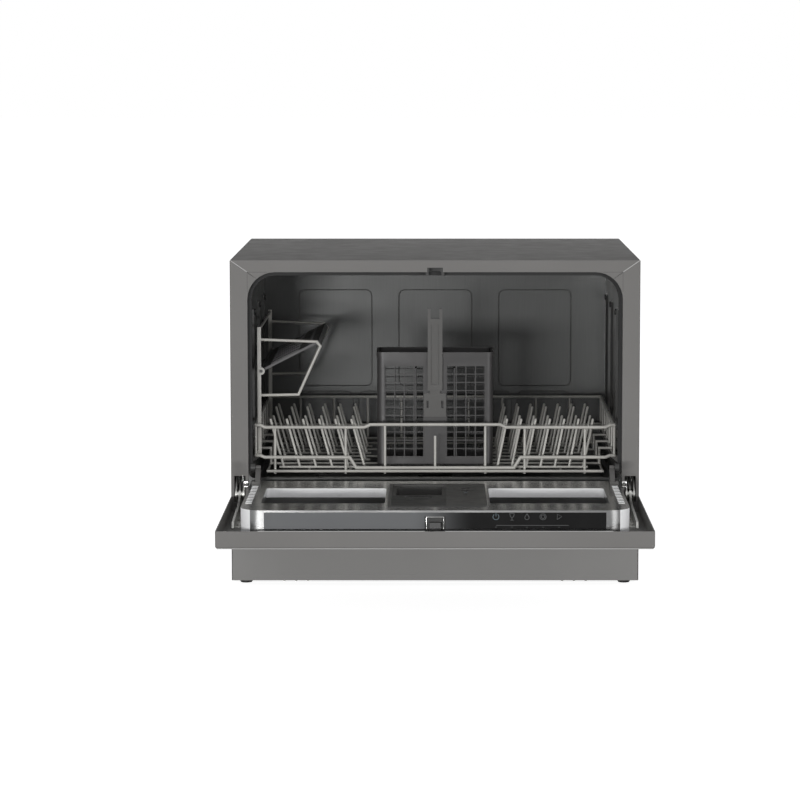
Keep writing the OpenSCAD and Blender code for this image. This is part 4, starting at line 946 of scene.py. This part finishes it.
@dataclass
class HingeSprings(Assembly):
    """The two coil springs that carry the door's weight."""

    coil_radius: float = 0.0024
    wire_radius: float = 0.0007
    turns: int = 26
    lower_hook: float = 0.0119
    upper_hook: float = 0.0127
    shut_length: float = 0.63

    def build(self) -> list[bpy.types.Object]:
        """Winds both springs.

        Returns:
            The springs.
        """
        for side in Side:
            self.spring(side)
        return self.built

    def spring(self, side: Side) -> None:
        """A true coil with its two hooks, in place of the stacked rings."""
        low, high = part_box(f"door_spring_{side.word}")
        x, y = (low[0] + high[0]) / 2, (low[1] + high[1]) / 2
        foot, head = low[2] + self.lower_hook, high[2] - self.upper_hook
        steps = self.turns * 14
        coil = [(x + self.coil_radius * math.cos(2 * math.pi * self.turns * i / steps),
                 y + self.coil_radius * math.sin(2 * math.pi * self.turns * i / steps),
                 foot + (head - foot) * i / steps) for i in range(steps + 1)]
        hook_low, hook_high = low[2] + self.wire_radius, high[2] - self.wire_radius
        far, near = x - self.coil_radius, x + self.coil_radius
        points = [(far, y, hook_low), (x, y, hook_low), (near, y, hook_low + 0.0012)]
        points += coil
        points += [(near, y, hook_high - 0.0012), (x, y, hook_high), (far, y, hook_high)]
        spring = self.add(tube(f"coil_spring_{side.word}", points, self.wire_radius), SPRING)
        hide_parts(f"door_spring_{side.word}")
        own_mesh(spring)


@dataclass
class RearPorts(Assembly):
    """Screw thread of the water inlet."""

    thread_pitch: float = 0.0018
    thread_turns: int = 7
    ridge: float = 0.0005

    def build(self) -> list[bpy.types.Object]:
        """Builds the thread of the water inlet.

        Returns:
            The pieces.
        """
        self.inlet_thread()
        return self.built

    def inlet_thread(self) -> None:
        """The ridge of the thread that the supply hose screws on to."""
        low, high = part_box("inlet_valve")
        radius = 0.0132
        x, z = -0.190, 0.052
        steps = self.thread_turns * 28
        points = []
        for i in range(steps + 1):
            turn = i / steps
            angle = 2 * math.pi * self.thread_turns * turn
            reach = radius - 0.00025 - (0.0006 if turn < 0.01 or turn > 0.99 else 0.0)
            points.append((x + reach * math.cos(angle), high[1] - 0.0012 - self.thread_pitch * self.thread_turns * turn,
                           z + reach * math.sin(angle)))
        self.add(tube("inlet_thread", points, self.ridge, 8), WHITE_PLASTIC)


@dataclass
class Studio:
    """Camera, floor and soft lamps."""

    focal_px: float = 3115.17
    frame_px: float = 800.0
    camera_at: Xyz = (0.0, -4.25327, 0.71527)
    pitch_down: float = 6.3615
    centre_px: float = 435.08

    def build(self) -> None:
        """Makes everything that isn't part of the machine."""
        self.place_camera()
        self.light_world()
        self.lay_floor()
        self.hang_lamps()

    def place_camera(self) -> None:
        """Puts the camera where the photograph was taken from."""
        data = bpy.data.cameras.new("camera")
        data.sensor_width = 36.0
        data.lens = self.focal_px * data.sensor_width / self.frame_px
        data.shift_x = (self.frame_px / 2 - self.centre_px) / self.frame_px
        camera = bpy.data.objects.new("camera", data)
        camera.location = self.camera_at
        camera.rotation_euler = (math.radians(90 - self.pitch_down), 0.0, 0.0)
        bpy.context.scene.collection.objects.link(camera)
        bpy.context.scene.camera = camera

    def light_world(self) -> None:
        """A white surround for the eye and for gloss, and a dimmer one that lights the piece."""
        world = bpy.data.worlds.new("surround")
        bpy.context.scene.world = world
        world.use_nodes = True
        tree = world.node_tree
        shown = tree.nodes["Background"]
        shown.inputs["Color"].default_value = (1.0, 1.0, 1.0, 1.0)
        shown.inputs["Strength"].default_value = 1.0
        light = tree.nodes.new("ShaderNodeBackground")
        light.inputs["Color"].default_value = (0.97, 0.985, 1.0, 1.0)
        light.inputs["Strength"].default_value = 0.40
        path = tree.nodes.new("ShaderNodeLightPath")
        seen = path.outputs["Is Camera Ray"]
        for name in ("Is Glossy Ray", "Is Transmission Ray"):
            either = tree.nodes.new("ShaderNodeMath")
            either.operation = "MAXIMUM"
            tree.links.new(seen, either.inputs[0])
            tree.links.new(path.outputs[name], either.inputs[1])
            seen = either.outputs[0]
        mix = tree.nodes.new("ShaderNodeMixShader")
        tree.links.new(seen, mix.inputs[0])
        tree.links.new(light.outputs[0], mix.inputs[1])
        tree.links.new(shown.outputs[0], mix.inputs[2])
        tree.links.new(mix.outputs[0], tree.nodes["World Output"].inputs["Surface"])

    def lay_floor(self) -> None:
        """A plain pale floor that keeps the object's soft shadow."""
        bpy.ops.object.select_all(action="DESELECT")
        bpy.ops.mesh.primitive_plane_add(size=60.0, location=(0.0, 0.0, -0.0005))
        floor = bpy.context.object
        floor.name = "floor"
        material = bpy.data.materials.new("floor")
        material.use_nodes = True
        tree = material.node_tree
        shader = tree.nodes["Principled BSDF"]
        shader.inputs["Base Color"].default_value = (0.55, 0.55, 0.55, 1.0)
        shader.inputs["Roughness"].default_value = 0.9
        shader.inputs["Specular IOR Level"].default_value = 0.0
        glow = tree.nodes.new("ShaderNodeEmission")
        glow.inputs["Color"].default_value = (1.0, 1.0, 1.0, 1.0)
        path = tree.nodes.new("ShaderNodeLightPath")
        level = tree.nodes.new("ShaderNodeMath")
        level.operation = "MULTIPLY"
        level.inputs[1].default_value = 0.93
        add = tree.nodes.new("ShaderNodeAddShader")
        tree.links.new(path.outputs["Is Camera Ray"], level.inputs[0])
        tree.links.new(level.outputs[0], glow.inputs["Strength"])
        tree.links.new(shader.outputs[0], add.inputs[0])
        tree.links.new(glow.outputs[0], add.inputs[1])
        tree.links.new(add.outputs[0], tree.nodes["Material Output"].inputs["Surface"])
        floor.data.materials.append(material)

    def hang_lamps(self) -> None:
        """A wide soft lamp at the front left, a weaker one at the right, and two low ones behind."""
        self.lamp("key", (-1.7, -4.4, 0.23), (0.0, 0.0, 0.25), (2.2, 0.4), 96.0)
        self.lamp("fill", (2.8, -3.4, 0.23), (0.0, 0.0, 0.25), (1.6, 0.4), 52.0)
        for side in Side:
            self.lamp("rear", (side.value * 2.6, 3.4, 0.26), (0.0, 0.2, 0.24), (1.2, 0.34), 16.0)

    def lamp(self, name: str, place: Xyz, target: Xyz, size: tuple[float, float], watts: float) -> None:
        """Hangs one soft lamp.

        Args:
            name: the lamp's name.
            place: where it hangs.
            target: the point that it faces.
            size: its width and height in metres.
            watts: its power.
        """
        data = bpy.data.lights.new(name, "AREA")
        data.shape = "RECTANGLE"
        data.size, data.size_y = size
        data.energy = watts
        lamp = bpy.data.objects.new(name, data)
        lamp.location = place
        lamp.rotation_euler = (Vector(target) - Vector(place)).to_track_quat("-Z", "Y").to_euler()
        bpy.context.scene.collection.objects.link(lamp)


def main() -> None:
    """Builds the studio, then dresses and completes the machine."""
    logging.basicConfig(level=logging.INFO, format="%(message)s")
    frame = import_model()
    scene = bpy.context.scene
    scene.view_settings.view_transform = "Standard"
    Studio().build()
    for finish, names in FINISHES.items():
        material = finish.shared()
        for name in names:
            dress(frame["nodes"][name], material)
        log.info("%s: %s", finish.name, ", ".join(names))
    # Side walls of the tub take a lighter copy of its steel: painted light.
    dress_faces(frame["nodes"]["tub"], SIDE_WALL_LIGHT_AND_SHADE.shared(), lambda face: abs(face.normal.x) > 0.6)
    # Outer corners of the liner made near white: painted reflection.
    dress_faces(frame["nodes"]["door_liner"], LINER_PAINTED_REFLECTION.shared(),
                lambda face: abs(face.normal.x) > 0.62 and face.normal.y < -0.1 and abs(face.normal.z) < 0.3)
    # Floors of the liner's recesses darkened: painted shade.
    recess_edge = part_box("door_liner")[1][2] - 0.004
    dress_faces(frame["nodes"]["door_liner"], RECESS_PAINTED_SHADE.shared(),
                lambda face: face.normal.z > 0.8 and face.center.z < recess_edge)
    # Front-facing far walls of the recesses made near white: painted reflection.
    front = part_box("door_liner")[0][1] + 0.03
    dress_faces(frame["nodes"]["door_liner"], LINER_PAINTED_REFLECTION.shared(),
                lambda face: face.normal.y < -0.7 and face.center.y > front)
    # Upward faces of the top darker than the rest of the case: painted shade.
    dress_faces(frame["nodes"]["top_panel"], TOP_PAINTED_SHADE.shared(), lambda face: face.normal.z > 0.9)
    for assembly in (Cabinet(), WashTub(), ControlStrip(), DoorFittings(), HingeSprings(), RearPorts()):
        for piece in assembly.build():
            log.info("%s: %d faces", piece.name, len(piece.data.polygons))


if __name__ == "__main__":
    main()
